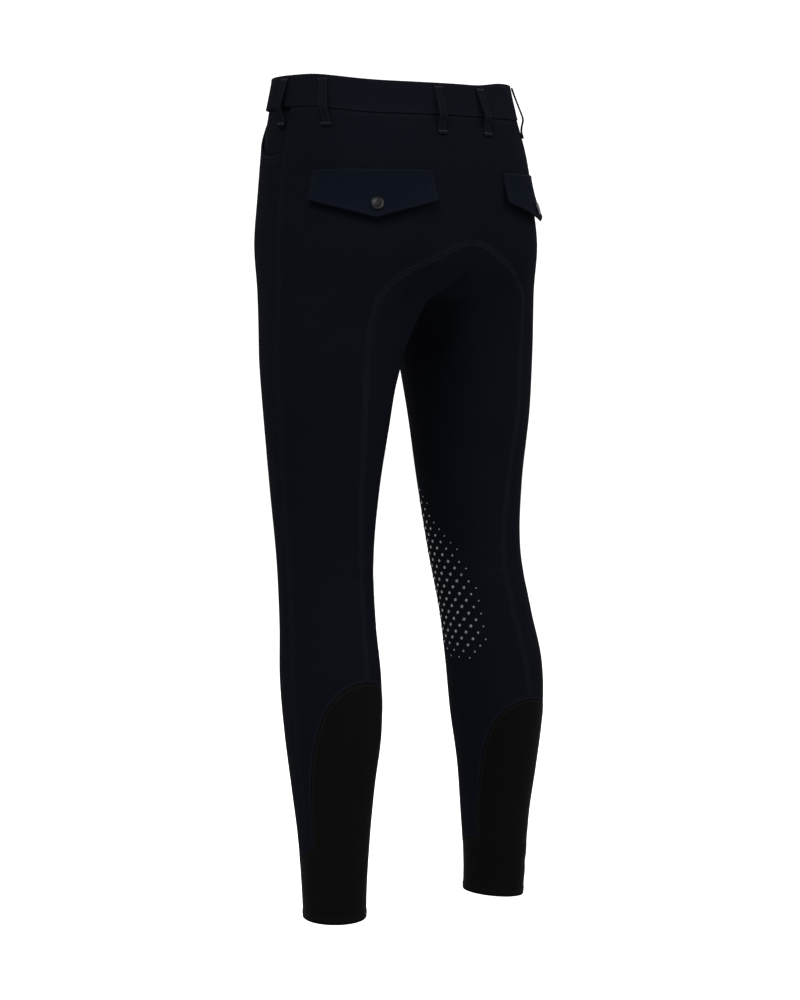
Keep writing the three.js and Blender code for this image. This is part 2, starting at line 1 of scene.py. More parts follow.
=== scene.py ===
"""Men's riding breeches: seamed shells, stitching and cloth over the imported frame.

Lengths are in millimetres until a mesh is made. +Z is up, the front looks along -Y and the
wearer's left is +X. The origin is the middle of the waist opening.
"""
import math

import bpy
import numpy as np
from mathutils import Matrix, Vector


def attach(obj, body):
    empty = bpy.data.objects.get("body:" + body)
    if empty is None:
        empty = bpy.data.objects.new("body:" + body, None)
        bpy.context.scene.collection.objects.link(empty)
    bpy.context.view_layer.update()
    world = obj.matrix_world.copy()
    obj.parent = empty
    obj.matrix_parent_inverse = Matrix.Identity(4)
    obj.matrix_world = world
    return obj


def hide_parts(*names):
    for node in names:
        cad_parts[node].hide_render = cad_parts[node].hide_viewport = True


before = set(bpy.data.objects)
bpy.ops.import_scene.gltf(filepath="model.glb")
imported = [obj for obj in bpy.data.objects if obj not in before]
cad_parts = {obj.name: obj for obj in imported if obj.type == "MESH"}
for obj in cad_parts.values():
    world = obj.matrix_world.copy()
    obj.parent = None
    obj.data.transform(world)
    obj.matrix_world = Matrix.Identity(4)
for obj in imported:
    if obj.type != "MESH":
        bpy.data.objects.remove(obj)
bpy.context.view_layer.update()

MM = 0.001

# Camera, from the photograph: behind the wearer's left side, looking a little down
CAMERA_DISTANCE = 3200
CAMERA_AZIMUTH = 42
CAMERA_HEIGHT = -229
CAMERA_YAW = 42.18
CAMERA_PITCH = 4.1
FOCAL_PIXELS = 2783
IMAGE_WIDTH = 800
SENSOR = 36

# Cloth and seams
CLOTH = 1.8
SEAM = 0.15
MIDDLE = -0.02                # left and right cloth meet with no slit between them
REST = 0.3
TRIM = 1.5
FACING_DEPTH = 2.9

# The pelvis: height, half width, depth in front, depth behind, centre, how square the back is
HIP = np.array([
    [40, 137.5, 96, 105.5, 0.5, 1.93],
    [20, 139.5, 97.5, 108.5, 0.5, 1.93],
    [-20, 148.5, 104, 116.5, 1, 2],
    [-60, 155.5, 106, 125, 1.5, 2.22],
    [-100, 158.5, 105, 129.5, 2.5, 2.3],
    [-140, 160.5, 103, 130.5, 4, 2.3],
    [-180, 165, 102, 130, 6, 2.3],
    [-220, 170, 102, 128, 8, 2.3],
    [-280, 172, 102, 124, 8, 2.3],
])
# A leg: height, centre x, centre y, half width, half depth
LEG = np.array([
    [40, 66, 2, 62, 84],
    [-100, 80, 5, 74, 98],
    [-160, 87, 8, 80.5, 100],
    [-220, 95, 11, 81, 93],
    [-265, 103.5, 12.3, 77.5, 83.5],
    [-300, 105.5, 12.5, 76.5, 79.8],
    [-360, 109.2, 13.5, 68.5, 75],
    [-440, 112, 12.5, 59.5, 64.5],
    [-520, 115.5, 17, 53, 56.5],
    [-590, 122, 29, 53, 55.5],
    [-650, 126.5, 39, 55.5, 58.5],
    [-710, 127, 43.5, 52.5, 57],
    [-770, 127.5, 44, 45, 49.5],
    [-830, 125.5, 43, 38.5, 43],
    [-890, 125, 43, 35, 38.5],
    [-950, 122.5, 41.5, 34, 37],
])
FRONT_POWER = 2.3
BLEND = 12
BOWL_TOP = -132
BOWL_HEIGHT = 89
BOWL_POWER = 3
CROTCH_Y = 12

# Waistband
BAND_TOP = 20
BAND_BOTTOM = -16
BAND_DIP = 9
DIP_FROM_Y = 20
DIP_TO_Y = 105
BAND_OUTER = 1
BAND_CLEAR = 0.5
BAND_RISE = 3.6
LAP_END = 22
LAP_RAMP = 26
LAP_DROP = 1.5                # the raised lap's lower edge hangs over the fronts

FADE_FROM_MIDDLE = 14         # folds fade out over this distance from the middle plane

# Seams by angle round a leg: 0 back, 90 outside, 180 front, 270 inside
SIDE_SEAM = 90
SEAT_APEX = -165
SEAT_SEAM = np.array([
    [-175, -23.5], [-189, -11.5], [-203, -0.5], [-215, 5.5], [-232, 9.5], [-262, 9.5], [-294, 9],
    [-352, 7], [-442, 1], [-523, -5.5], [-590, -6], [-640, -3.5], [-692, 0],
])
SCOOP = np.array([[90, -65], [105, -69], [124, -65], [140, -51], [152, -32], [158, -16]])
FACING = np.array([[84, -80], [108, -84], [130, -79], [150, -60], [168, -34]])

# Calf panels sit at two heights
CALF = {
    "left": {"dome_top": -650, "cuff_side": -834, "cuff_front": -852, "hem": -919},
    "right": {"dome_top": -692, "cuff_side": -856, "cuff_front": -862, "hem": -925},
}
DOME_ANGLE = 76
DOME_WIDE_POWER = 2.4
DOME_TALL_POWER = 2.2
SHOULDER_TURN = 60            # where the dome's top runs into its side
HEM_TILT_OUT = 0.06
HEM_TILT_BACK = 0.04
HEM_DEPTH = 9

FLAP = {"inner": -11.5, "tip": 19.5, "outer": 62, "top": -86, "side": -120, "point": -139.5, "lift": 7.0}
FLAP_FLARE = {"inner": 1.7, "outer": 0.3}
SNAP = {"radius": 7.5, "height": 2.4, "z": -124.5}
FLY = {"right": -6, "left": 36, "top": -17.5, "bend": -118, "bottom": -165}
LOOP = {"width": 11, "thick": 1.9, "top": 17, "bottom": -37}
LOOPS = {
    "front": {"left": -52, "right": 232, "lean": 0, "arch": 5.4},
    "side": {"left": -5, "right": 185, "lean": 2, "arch": 6.2},
    "hip": {"left": 16.5, "right": 147, "lean": 4, "arch": 4.6},
    "back": {"left": 74, "right": 106, "lean": 0, "arch": 5},
}

# Sewn edges: distance from the seam line and height of the cloth there
SEAM_RINGS = np.array([[SEAM, -0.75], [0.45, -0.25], [0.95, 0.1], [1.8, 0.3], [2.5, 0.3], [3.0, 0.05]])
STITCH_FROM_SEAM = 2.4
STITCH = {"length": 2.4, "pitch": 3.3, "radius": 0.2}
LADDER = {"pitch": 1.7, "reach": 1.9, "height": 0.12, "radius": 0.17}


# Surface of the figure that the cloth lies on


def read(rows, at):
    """The other columns of a table, smoothly, at values of its first column."""
    rows = rows[np.argsort(rows[:, 0])].astype(float)
    at = np.atleast_1d(np.asarray(at, float))
    keys = rows[:, 0]
    last = len(keys) - 1
    before = np.maximum(np.arange(last + 1) - 1, 0)
    after = np.minimum(np.arange(last + 1) + 1, last)
    slopes = (rows[after] - rows[before]) / (keys[after] - keys[before])[:, None]
    k = np.clip(np.searchsorted(keys, at) - 1, 0, last - 1)
    step = (keys[k + 1] - keys[k])[:, None]
    u = np.clip((at - keys[k])[:, None] / step, 0, 1)
    rise = u * u * (3 - 2 * u)
    values = rows[k] * (1 - rise) + rows[k + 1] * rise
    values += slopes[k] * step * u * (1 - u) ** 2 - slopes[k + 1] * step * u * u * (1 - u)
    return values[:, 1:].T


def sections(z):
    return read(HIP, z), read(LEG, z)


def field(x, y, z, at=None):
    """Below zero inside the figure, above zero outside."""
    hip, leg = at if at is not None else sections(z)
    half, front, back, centre, back_power = hip
    cx, cy, ha, hb = leg
    depth = np.where(y < centre, front, back)
    power = np.where(y < centre, FRONT_POWER, back_power)
    oval = (np.abs(x / half) ** power + np.abs((y - centre) / depth) ** power) ** (1 / power)
    down = np.maximum(0, BOWL_TOP - z) / BOWL_HEIGHT
    parts = [110 * ((oval ** BOWL_POWER + down ** BOWL_POWER) ** (1 / BOWL_POWER) - 1)]
    for side in (1, -1):
        parts.append(np.sqrt(ha * hb) * (np.hypot((side * x - cx) / ha, (y - cy) / hb) - 1))
    parts = np.stack(parts)
    least = parts.min(axis=0)
    return least - BLEND * np.log(np.exp((least - parts) / BLEND).sum(axis=0))


def normals_at(points):
    h = 0.5
    x, y, z = points.T
    slope = np.stack([
        field(x + h, y, z) - field(x - h, y, z),
        field(x, y + h, z) - field(x, y - h, z),
        field(x, y, z + h) - field(x, y, z - h),
    ], axis=1)
    return slope / np.linalg.norm(slope, axis=1, keepdims=True)


def cast(x, y, z, dx, dy, reach):
    """Where level rays from inside meet the cloth, with its normals."""
    x, y, z, dx, dy, reach = (np.array(a, float) for a in np.broadcast_arrays(x, y, z, dx, dy, reach))
    at = sections(z)
    near = np.zeros_like(z)
    far = reach.copy()
    for _ in range(36):
        middle = (near + far) / 2
        inside = field(x + dx * middle, y + dy * middle, z, at) < 0
        near = np.where(inside, middle, near)
        far = np.where(inside, far, middle)
    points = np.stack([x + dx * near, y + dy * near, z], axis=1)
    return points, normals_at(points)


def on_leg(angle, z):
    angle, z = (np.array(a, float) for a in np.broadcast_arrays(np.atleast_1d(angle), z))
    cx, cy = read(LEG, z)[:2]
    dx = np.sin(np.radians(angle))
    dy = np.cos(np.radians(angle))
    inward = dx < -1e-6
    limit = np.where(inward, np.minimum(260, (cx - MIDDLE) / np.where(inward, -dx, 1)), 260)
    return cast(cx, cy, z, dx, dy, limit)


def on_middle(side, z, x=MIDDLE):
    return cast(x, CROTCH_Y, np.atleast_1d(np.asarray(z, float)), 0, side, 180)


def on_waist(angle, z):
    angle, z = (np.array(a, float) for a in np.broadcast_arrays(np.atleast_1d(angle), z))
    centre = read(HIP, z)[3]
    return cast(0, centre, z, np.cos(np.radians(angle)), np.sin(np.radians(angle)), 220)


def middle_angle(side, z):
    cx, cy = read(LEG, z)[:2]
    points, _ = on_middle(side, z)
    angle = np.degrees(np.arctan2(points[:, 0] - cx, points[:, 1] - cy))
    return np.where(angle < 0, angle + 360, angle)


def crotch_height():
    high, low = -190.0, -260.0
    for _ in range(40):
        z = (high + low) / 2
        if field(np.array([MIDDLE]), np.array([CROTCH_Y]), np.array([z]))[0] < 0:
            high = z
        else:
            low = z
    return high


CROTCH = crotch_height()


def smooth(u):
    t = np.clip(u, 0, 1)
    return t * t * (3 - 2 * t)


def dip(y):
    return BAND_DIP * smooth((y - DIP_FROM_Y) / (DIP_TO_Y - DIP_FROM_Y))


def mix(a, b, t):
    return a + (b - a) * t


def steps(count):
    return np.linspace(0, 1, count + 1)


# Seams: rows of angle, height and side of the middle plane (0 where it is off that plane)


def nodes(angle, z, middle=0):
    parts = np.broadcast_arrays(np.atleast_1d(angle), z, middle)
    return np.stack([np.array(part, float) for part in parts], axis=1)


def place(seam):
    """Points and normals of seam nodes."""
    points, normals = on_leg(seam[:, 0], seam[:, 1])
    for side in (-1, 1):
        here = seam[:, 2] == side
        if here.any():
            points[here], normals[here] = on_middle(side, seam[here, 1])
    return points, normals


def ending_fine(count):
    """Even steps but for a very short last one, so that shading runs smoothly over the middle."""
    return np.append(np.linspace(0, 1 - 0.12 / count, count), 1)


def waist_seam(start, end, count):
    angle = mix(start, end, ending_fine(count))
    points, _ = on_leg(angle, BAND_BOTTOM)
    return nodes(angle, BAND_BOTTOM - dip(points[:, 1]))


def middle_seam(side, start, end, count, gather=1.0):
    z = mix(end, start, (1 - steps(count)) ** gather)
    angle = np.where(z <= CROTCH + 1e-6, 270, middle_angle(side, z))
    return nodes(angle, z, side)


def seat_angle(z):
    z = np.asarray(z, float)
    apex = middle_angle(1, [SEAT_APEX])[0] - 360
    first = np.clip((SEAT_APEX - z) / (SEAT_APEX - SEAT_SEAM[0, 0]), 0, 1)
    near_apex = mix(apex, SEAT_SEAM[0, 1], first ** 0.55)
    return np.where(z > SEAT_SEAM[0, 0], near_apex, read(SEAT_SEAM, np.minimum(z, SEAT_SEAM[0, 0]))[0])


def seat_arch(count):
    """The seat seam from its apex to the crotch, in even steps over the cloth."""
    z = mix(SEAT_APEX, CROTCH, steps(400) ** 2)
    points, _ = on_leg(seat_angle(z), z)
    along = np.concatenate([[0], np.cumsum(np.linalg.norm(np.diff(points, axis=0), axis=1))])
    z = np.interp((1 - ending_fine(count)[::-1]) * along[-1], along, z)
    return nodes(seat_angle(z), z)


def cuff_height(calf, angle):
    turn = np.minimum(np.abs(angle), np.abs(360 - np.asarray(angle, float)))
    return mix(calf["cuff_side"], calf["cuff_front"], smooth((turn - DOME_ANGLE) / 45))


def dome_edge(calf, sign, start, end, count):
    """Part of a dome's edge; turn 0 is its foot and 90 the middle of the back."""
    turn = np.radians(mix(start, end, steps(count)))
    angle = DOME_ANGLE * np.maximum(np.cos(turn), 0) ** (2 / DOME_WIDE_POWER)
    rise = np.sin(turn) ** (2 / DOME_TALL_POWER)
    angle = np.where(turn > math.pi / 2 - 1e-6, 0, angle)
    return nodes(sign * angle, mix(calf["cuff_side"], calf["dome_top"], rise))


def hem_height(calf, angle):
    cx, cy = (row[0] for row in read(LEG, [calf["hem"]])[:2])
    points, _ = on_leg(angle, calf["hem"])
    return calf["hem"] - HEM_TILT_OUT * (points[:, 0] - cx) - HEM_TILT_BACK * (points[:, 1] - cy)


def turned(seam):
    """The same seam nodes one turn further round the leg."""
    return seam + np.array([360, 0, 0])


# Folds of the cloth: angle and height along each valley, depth, half width


FOLDS = {
    "left": [
        ([(-30, -196), (-42, -243), (-50, -296)], -13, 24),
        ([(-46, -178), (-32, -199), (-18, -219), (-12, -240)], 5.5, 13),
        ([(35, -262), (12, -252), (-12, -256)], 0.9, 9),
        ([(72, -300), (50, -306), (30, -300)], 0.6, 8),
        ([(-25, -508), (0, -515), (30, -511)], 1.1, 6.5),
        ([(-40, -533), (-8, -541), (22, -536)], 1.3, 7),
        ([(-20, -561), (8, -566), (36, -559)], 0.9, 6.5),
        ([(60, -548), (84, -560), (104, -580)], 0.8, 6),
        ([(250, -470), (268, -492), (282, -520)], 0.7, 7),
        ([(-30, -852), (5, -858), (40, -851)], 0.9, 6),
        ([(10, -880), (45, -884), (80, -877)], 0.7, 5.5),
        ([(150, -866), (185, -873), (220, -865)], 0.8, 6),
        ([(160, -560), (185, -566), (210, -558)], 0.5, 9),
    ],
    "right": [
        ([(-30, -196), (-42, -243), (-50, -296)], -11, 24),
        ([(-5, -202), (1, -206), (7, -211)], 2.0, 5),
        ([(30, -258), (5, -250), (-20, -254)], 0.9, 9),
        ([(-30, -505), (-5, -512), (28, -508)], 1.2, 6.5),
        ([(-38, -530), (-6, -538), (26, -533)], 1.4, 7),
        ([(-18, -558), (10, -563), (38, -556)], 0.9, 6.5),
        ([(250, -470), (268, -492), (282, -520)], 0.6, 7),
        ([(-30, -860), (5, -866), (40, -859)], 0.9, 6),
        ([(20, -886), (50, -890), (85, -883)], 0.6, 5.5),
        ([(150, -872), (185, -879), (220, -871)], 0.7, 6),
        ([(160, -560), (185, -566), (210, -558)], 0.5, 9),
    ],
}


def fold_height(side, angle, z):
    """How far the folds move the cloth along its normal."""
    height = np.zeros_like(z)
    ha, hb = read(LEG, z)[2:]
    radius = np.radians(1) * (ha + hb) / 2
    for line, depth, width in FOLDS[side]:
        nearest = np.full_like(z, 1e9)
        along = np.zeros_like(z)
        for k, ((a0, z0), (a1, z1)) in enumerate(zip(line, line[1:])):
            across = (np.mod(angle - a0 + 180, 360) - 180) * radius
            step = (a1 - a0) * radius
            up = z - z0
            rise = z1 - z0
            t = np.clip((across * step + up * rise) / (step ** 2 + rise ** 2), 0, 1)
            away = np.hypot(across - t * step, up - t * rise)
            closer = away < nearest
            nearest = np.where(closer, away, nearest)
            along = np.where(closer, (k + t) / (len(line) - 1), along)
        fade = np.sin(np.pi * np.clip(along, 0.06, 0.94)) ** 0.8
        ridge = (0.4 if depth > 0 else 0) * np.exp(-((nearest - 1.9 * width) / width) ** 2)
        height += depth * fade * (ridge - np.exp(-(nearest / width) ** 2))
    return height


# Shells of cloth


class Sheet:
    """Cloth as shared points with normals and heights, and faces of three or four corners."""

    def __init__(self):
        self.blocks = []
        self.faces = []
        self.count = 0

    def grid(self, points, normals, lift, fold, uv, rows, columns, highlight_share=0.0):
        """Adds a field of cloth: lift raises its outer face alone, fold moves both faces, and the last
        value is its share of painted edge highlight.
        """
        size = len(points)
        lift, fold, highlight_share = (np.broadcast_to(a, size) for a in (lift, fold, highlight_share))
        self.blocks.append(np.column_stack([points, normals, lift, fold, uv, highlight_share]))
        ids = self.count + np.arange(size).reshape(rows + 1, columns + 1)
        self.count += size
        quads = np.stack([ids[:-1, :-1], ids[1:, :-1], ids[1:, 1:], ids[:-1, 1:]], axis=-1)
        self.faces.extend(quads.reshape(-1, 4).tolist())

    def welded(self):
        """The points without doubles, and the faces that are left."""
        data = np.concatenate(self.blocks)
        keys = np.round(data[:, :3] / 0.02).astype(np.int64)
        _, first, shared = np.unique(keys, axis=0, return_index=True, return_inverse=True)
        shared = shared.ravel()
        faces = []
        for face in self.faces:
            corners = list(dict.fromkeys(int(shared[k]) for k in face))
            if len(corners) > 2:
                faces.append(corners)
        return data[first], faces

    def shell(self, name, inner, outer, one_side=False, mirror=False):
        """A closed wall between two offsets from the sheet, as a Blender mesh."""
        data, faces = self.welded()
        points, normals, lift, fold, uv, highlight_share = np.split(data, [3, 6, 7, 8, 10], axis=1)
        count = len(points)
        outside = points + normals * (outer + lift + fold)
        corners = np.concatenate([outside, points + normals * (inner + fold)])
        if one_side:
            corners[:, 0] = np.maximum(corners[:, 0], MIDDLE)
        edges = set()
        for face in faces:
            for p, q in zip(face, face[1:] + face[:1]):
                if (q, p) in edges:
                    edges.remove((q, p))
                else:
                    edges.add((p, q))
        rim = sorted(edges)
        walls = [[q, p, p + count, q + count] for p, q in rim]
        back = [[k + count for k in reversed(face)] for face in faces]
        both_uv = np.tile(uv, (2, 1))
        both_highlight_share = np.tile(highlight_share.ravel(), 2)
        piece = make_mesh(name, corners, faces + back + walls, both_uv, both_highlight_share, mirror)
        sharpen(piece.data, rim + [(p + count, q + count) for p, q in rim])
        return piece


def sharpen(mesh, pairs):
    """Breaks the smooth shading along edges given as pairs of points."""
    size = len(mesh.vertices)
    ends = np.empty(2 * len(mesh.edges), dtype=np.int64)
    mesh.edges.foreach_get("vertices", ends)
    ends = np.sort(ends.reshape(-1, 2), axis=1)
    wanted = np.sort(np.array(pairs, dtype=np.int64), axis=1)
    sharp = np.isin(ends[:, 0] * size + ends[:, 1], wanted[:, 0] * size + wanted[:, 1])
    mesh.edges.foreach_set("use_edge_sharp", sharp)


def make_mesh(name, corners, faces, uv=None, highlight_share=None, mirror=False):
    """A Blender object from millimetre corners, its faces turned outward."""
    corners = np.array(corners, float) * MM
    if mirror:
        corners = corners * np.array([-1, 1, 1])
    volume = 0.0
    for face in faces:
        a, b, c = corners[face[0]], corners[face[1]], corners[face[2]]
        volume += a @ np.cross(b, c)
        if len(face) == 4:
            volume += a @ np.cross(c, corners[face[3]])
    if volume < 0:
        faces = [list(reversed(face)) for face in faces]
    mesh = bpy.data.meshes.new(name)
    mesh.from_pydata(corners.tolist(), [], faces)
    if uv is not None:
        layer = mesh.uv_layers.new(name="cloth")
        spots = np.empty(len(mesh.loops), dtype=np.int32)
        mesh.loops.foreach_get("vertex_index", spots)
        layer.data.foreach_set("uv", (np.asarray(uv)[spots] * MM).ravel())
    # Share of painted highlight along seams and rolled edges, read by the cloth materials.
    if highlight_share is not None:
        attribute = mesh.attributes.new("painted_edge_highlight", "FLOAT", "POINT")
        attribute.data.foreach_set("value", np.asarray(highlight_share, float))
    mesh.polygons.foreach_set("use_smooth", [True] * len(mesh.polygons))
    piece = bpy.data.objects.new(name, mesh)
    bpy.context.scene.collection.objects.link(piece)
    return piece


# Panels


def inset(loop, gap, closed=True):
    """Seam nodes moved inward over the cloth; middle nodes only slide along the middle."""
    before = np.roll(loop, 1, axis=0)
    after = np.roll(loop, -1, axis=0)
    if closed:
        inward = np.sign((loop[:, 0] * after[:, 1] - after[:, 0] * loop[:, 1]).sum())
    else:
        before[0] = loop[-2] - np.array([360, 0, 0])
        after[-1] = loop[1] + np.array([360, 0, 0])
        inward = -1
    points, _ = place(loop)
    cx, cy = read(LEG, loop[:, 1])[:2]
    radius = np.radians(1) * np.hypot(points[:, 0] - cx, points[:, 1] - cy)

    def edge(start, end):
        along = (end[:, 0] - start[:, 0]) * radius
        up = end[:, 1] - start[:, 1]
        length = np.hypot(along, up)
        return np.stack([-up / length, along / length], axis=1) * inward

    one = edge(before, loop)
    two = edge(loop, after)
    spread = np.maximum(1 + (one * two).sum(axis=1), 0.35)
    shift = gap * (one + two) / spread[:, None]
    moved = loop.copy()
    moved[:, 0] += shift[:, 0] / radius
    moved[:, 1] += shift[:, 1]
    middle = loop[:, 2] != 0
    free = np.where((before[:, 2] != 0)[:, None], two, one)
    slide = np.where((before[:, 2] != 0) & (after[:, 2] != 0), 0, np.sign(free[:, 1]) * gap)
    moved[middle, 0] = loop[middle, 0]
    moved[middle, 1] = loop[middle, 1] + slide[middle]
    return moved


class Panel:
    """A cut panel of one leg: its seam loop, the sewn border inside it and the cloth between."""

    def __init__(self, side, grain):
        self.side = side
        self.grain = grain
        self.sheet = Sheet()

    def lay(self, seam, points, normals, lift, rows, columns, highlight_share=0.0):
        angle, z = seam[:, 0], seam[:, 1]
        ha, hb = read(LEG, z)[2:]
        across = np.radians(angle - self.grain) * (ha + hb) / 2
        clear = smooth((points[:, 0] - MIDDLE) / FADE_FROM_MIDDLE)
        fold = fold_height(self.side, angle, z) * clear
        uv = np.column_stack([across, z])
        self.sheet.grid(points, normals, lift, fold, uv, rows, columns, highlight_share)

    def border(self, loop, height, closed=True):
        """The stitched border as narrow rings, all given the full painted edge highlight; returns the loop
        at its inner edge.
        """
        wrap = np.arange(len(loop) + 1) % len(loop) if closed else np.arange(len(loop))
        last = None
        for gap, lift in SEAM_RINGS:
            seam = inset(loop, gap, closed)
            points, normals = place(seam)
            ring = (seam[wrap], points[wrap], normals[wrap], lift * height[wrap])
            if last is not None:
                both = [np.concatenate(pair) for pair in zip(last, ring)]
                self.lay(*both, 1, len(wrap) - 1, 1.0)
            last = ring
        return inset(loop, SEAM_RINGS[-1, 0], closed)

    def patch(self, top, bottom, left, right):
        """Fills a four-sided field between rows of seam nodes."""
        rows = len(left) - 1
        columns = len(top) - 1
        v = steps(rows)[:, None, None]
        u = steps(columns)[None, :, None]
        seam = (1 - v) * top[None] + v * bottom[None] + (1 - u) * left[:, None] + u * right[:, None]
        seam -= (1 - u) * ((1 - v) * left[0] + v * left[-1]) + u * ((1 - v) * right[0] + v * right[-1])
        seam[1:-1, 1:-1, 2] = 0
        seam[0], seam[-1] = top, bottom
        seam[:, 0], seam[:, -1] = left, right
        seam = seam.reshape(-1, 3)
        points, normals = place(seam)
        self.lay(seam, points, normals, 0.0, rows, columns)


def join(*edges):
    """One loop of the edges, in order, and where each edge lies in it."""
    places = []
    rows = []
    count = 0
    for name, edge in edges:
        kept = edge[:-1]
        places.append((name, np.arange(count, count + len(edge))))
        rows.append(kept)
        count += len(kept)
    loop = np.concatenate(rows)
    return loop, {name: index % len(loop) for name, index in places}


def heights(loop, where, factors):
    height = np.zeros(len(loop))
    for name, factor in factors.items():
        height[where[name]] = np.maximum(height[where[name]], factor)
    return height


def line(start, end, count):
    """Level row of nodes over the cloth between two seam nodes, off the middle plane inside."""
    t = steps(count)[:, None]
    row = mix(start[None], end[None], t)
    row[1:-1, 2] = 0
    return row


COLUMNS_OUTER = 60
COLUMNS_INNER = 28
COLUMNS_DOME_TOP = 13
ROWS_SCOOP = 20
ROWS_HIP = 30
ROWS_GUSSET = 28
ROWS_THIGH = 92
ROWS_CALF = 36
GATHER = 1.9


def front_panel(side):
    calf = CALF[side]
    panel = Panel(side, 180)
    scoop_top = waist_seam(SCOOP[-1, 0], SCOOP[-1, 0], 1)[0]
    at = mix(len(SCOOP) - 1, 0, steps(ROWS_SCOOP))
    bend = np.column_stack([np.arange(len(SCOOP)), SCOOP])
    scoop = nodes(*read(bend, at))
    scoop[0] = scoop_top
    hip = nodes(SIDE_SEAM, mix(SCOOP[0, 1], CROTCH, steps(ROWS_HIP)))
    waist = waist_seam(SCOOP[-1, 0], middle_angle(-1, [BAND_BOTTOM])[0], COLUMNS_OUTER)
    rise = middle_seam(-1, BAND_BOTTOM, CROTCH, ROWS_SCOOP + ROWS_HIP, 1.25)
    waist[-1] = rise[0]
    gusset = middle_seam(1, SEAT_APEX, CROTCH, ROWS_GUSSET, GATHER)
    gusset[-1] = rise[-1]
    seat = turned(seat_arch(ROWS_GUSSET))
    seat[0] = gusset[0]
    down = steps(ROWS_THIGH) ** 1.08
    back_z = mix(CROTCH, calf["dome_top"], down)
    back = nodes(360 + seat_angle(back_z), back_z)
    back[0] = seat[-1]
    dome_top = turned(dome_edge(calf, -1, 90, SHOULDER_TURN, COLUMNS_DOME_TOP))
    back[-1] = dome_top[0]
    dome_side = turned(dome_edge(calf, -1, SHOULDER_TURN, 0, ROWS_CALF))
    knee = dome_side[0, 1]
    cuff_angle = mix(360 - DOME_ANGLE, SIDE_SEAM, steps(COLUMNS_OUTER + COLUMNS_INNER - COLUMNS_DOME_TOP))
    cuff = nodes(cuff_angle, cuff_height(calf, cuff_angle))
    cuff[0] = dome_side[-1]
    calf_side = nodes(SIDE_SEAM, mix(cuff[-1, 1], knee, steps(ROWS_CALF)))
    thigh_side = nodes(SIDE_SEAM, mix(knee, CROTCH, 1 - (steps(ROWS_THIGH)[::-1]) ** 1.08))
    loop, where = join(
        ("waist", waist), ("rise", rise), ("gusset", gusset[::-1]), ("seat", seat), ("back", back),
        ("dome_top", dome_top), ("dome_side", dome_side), ("cuff", cuff), ("calf_side", calf_side),
        ("thigh_side", thigh_side), ("hip", hip[::-1]), ("scoop", scoop[::-1]),
    )
    height = heights(loop, where, {
        "seat": 0.3, "back": 0.3, "dome_top": 0.6, "dome_side": 0.6, "cuff": 0.5, "calf_side": 0.15,
        "thigh_side": 0.15, "hip": 0.15, "scoop": 1.1,
    })
    inner = panel.border(loop, height)
    edge = {name: inner[index] for name, index in where.items()}
    outer_line = line(edge["hip"][0], edge["rise"][-1], COLUMNS_OUTER)
    inner_line = line(edge["rise"][-1], edge["back"][0], COLUMNS_INNER)
    knee_line = line(edge["calf_side"][-1], edge["dome_side"][0], len(cuff) - 1)
    panel.patch(edge["waist"], outer_line,
                np.concatenate([edge["scoop"][::-1], edge["hip"][::-1][1:]]), edge["rise"])
    panel.patch(np.concatenate([outer_line, inner_line[1:]]),
                np.concatenate([knee_line, edge["dome_top"][::-1][1:]]),
                edge["thigh_side"][::-1], edge["back"])
    panel.patch(knee_line, edge["cuff"][::-1], edge["calf_side"][::-1], edge["dome_side"])
    panel.patch(np.repeat(edge["gusset"][-1:], COLUMNS_INNER + 1, axis=0), inner_line,
                edge["gusset"][::-1], edge["seat"])
    return panel, loop, where


ROWS_CENTRE = 34
COLUMNS_SLIVER = 14
COLUMNS_DOME_BACK = 24


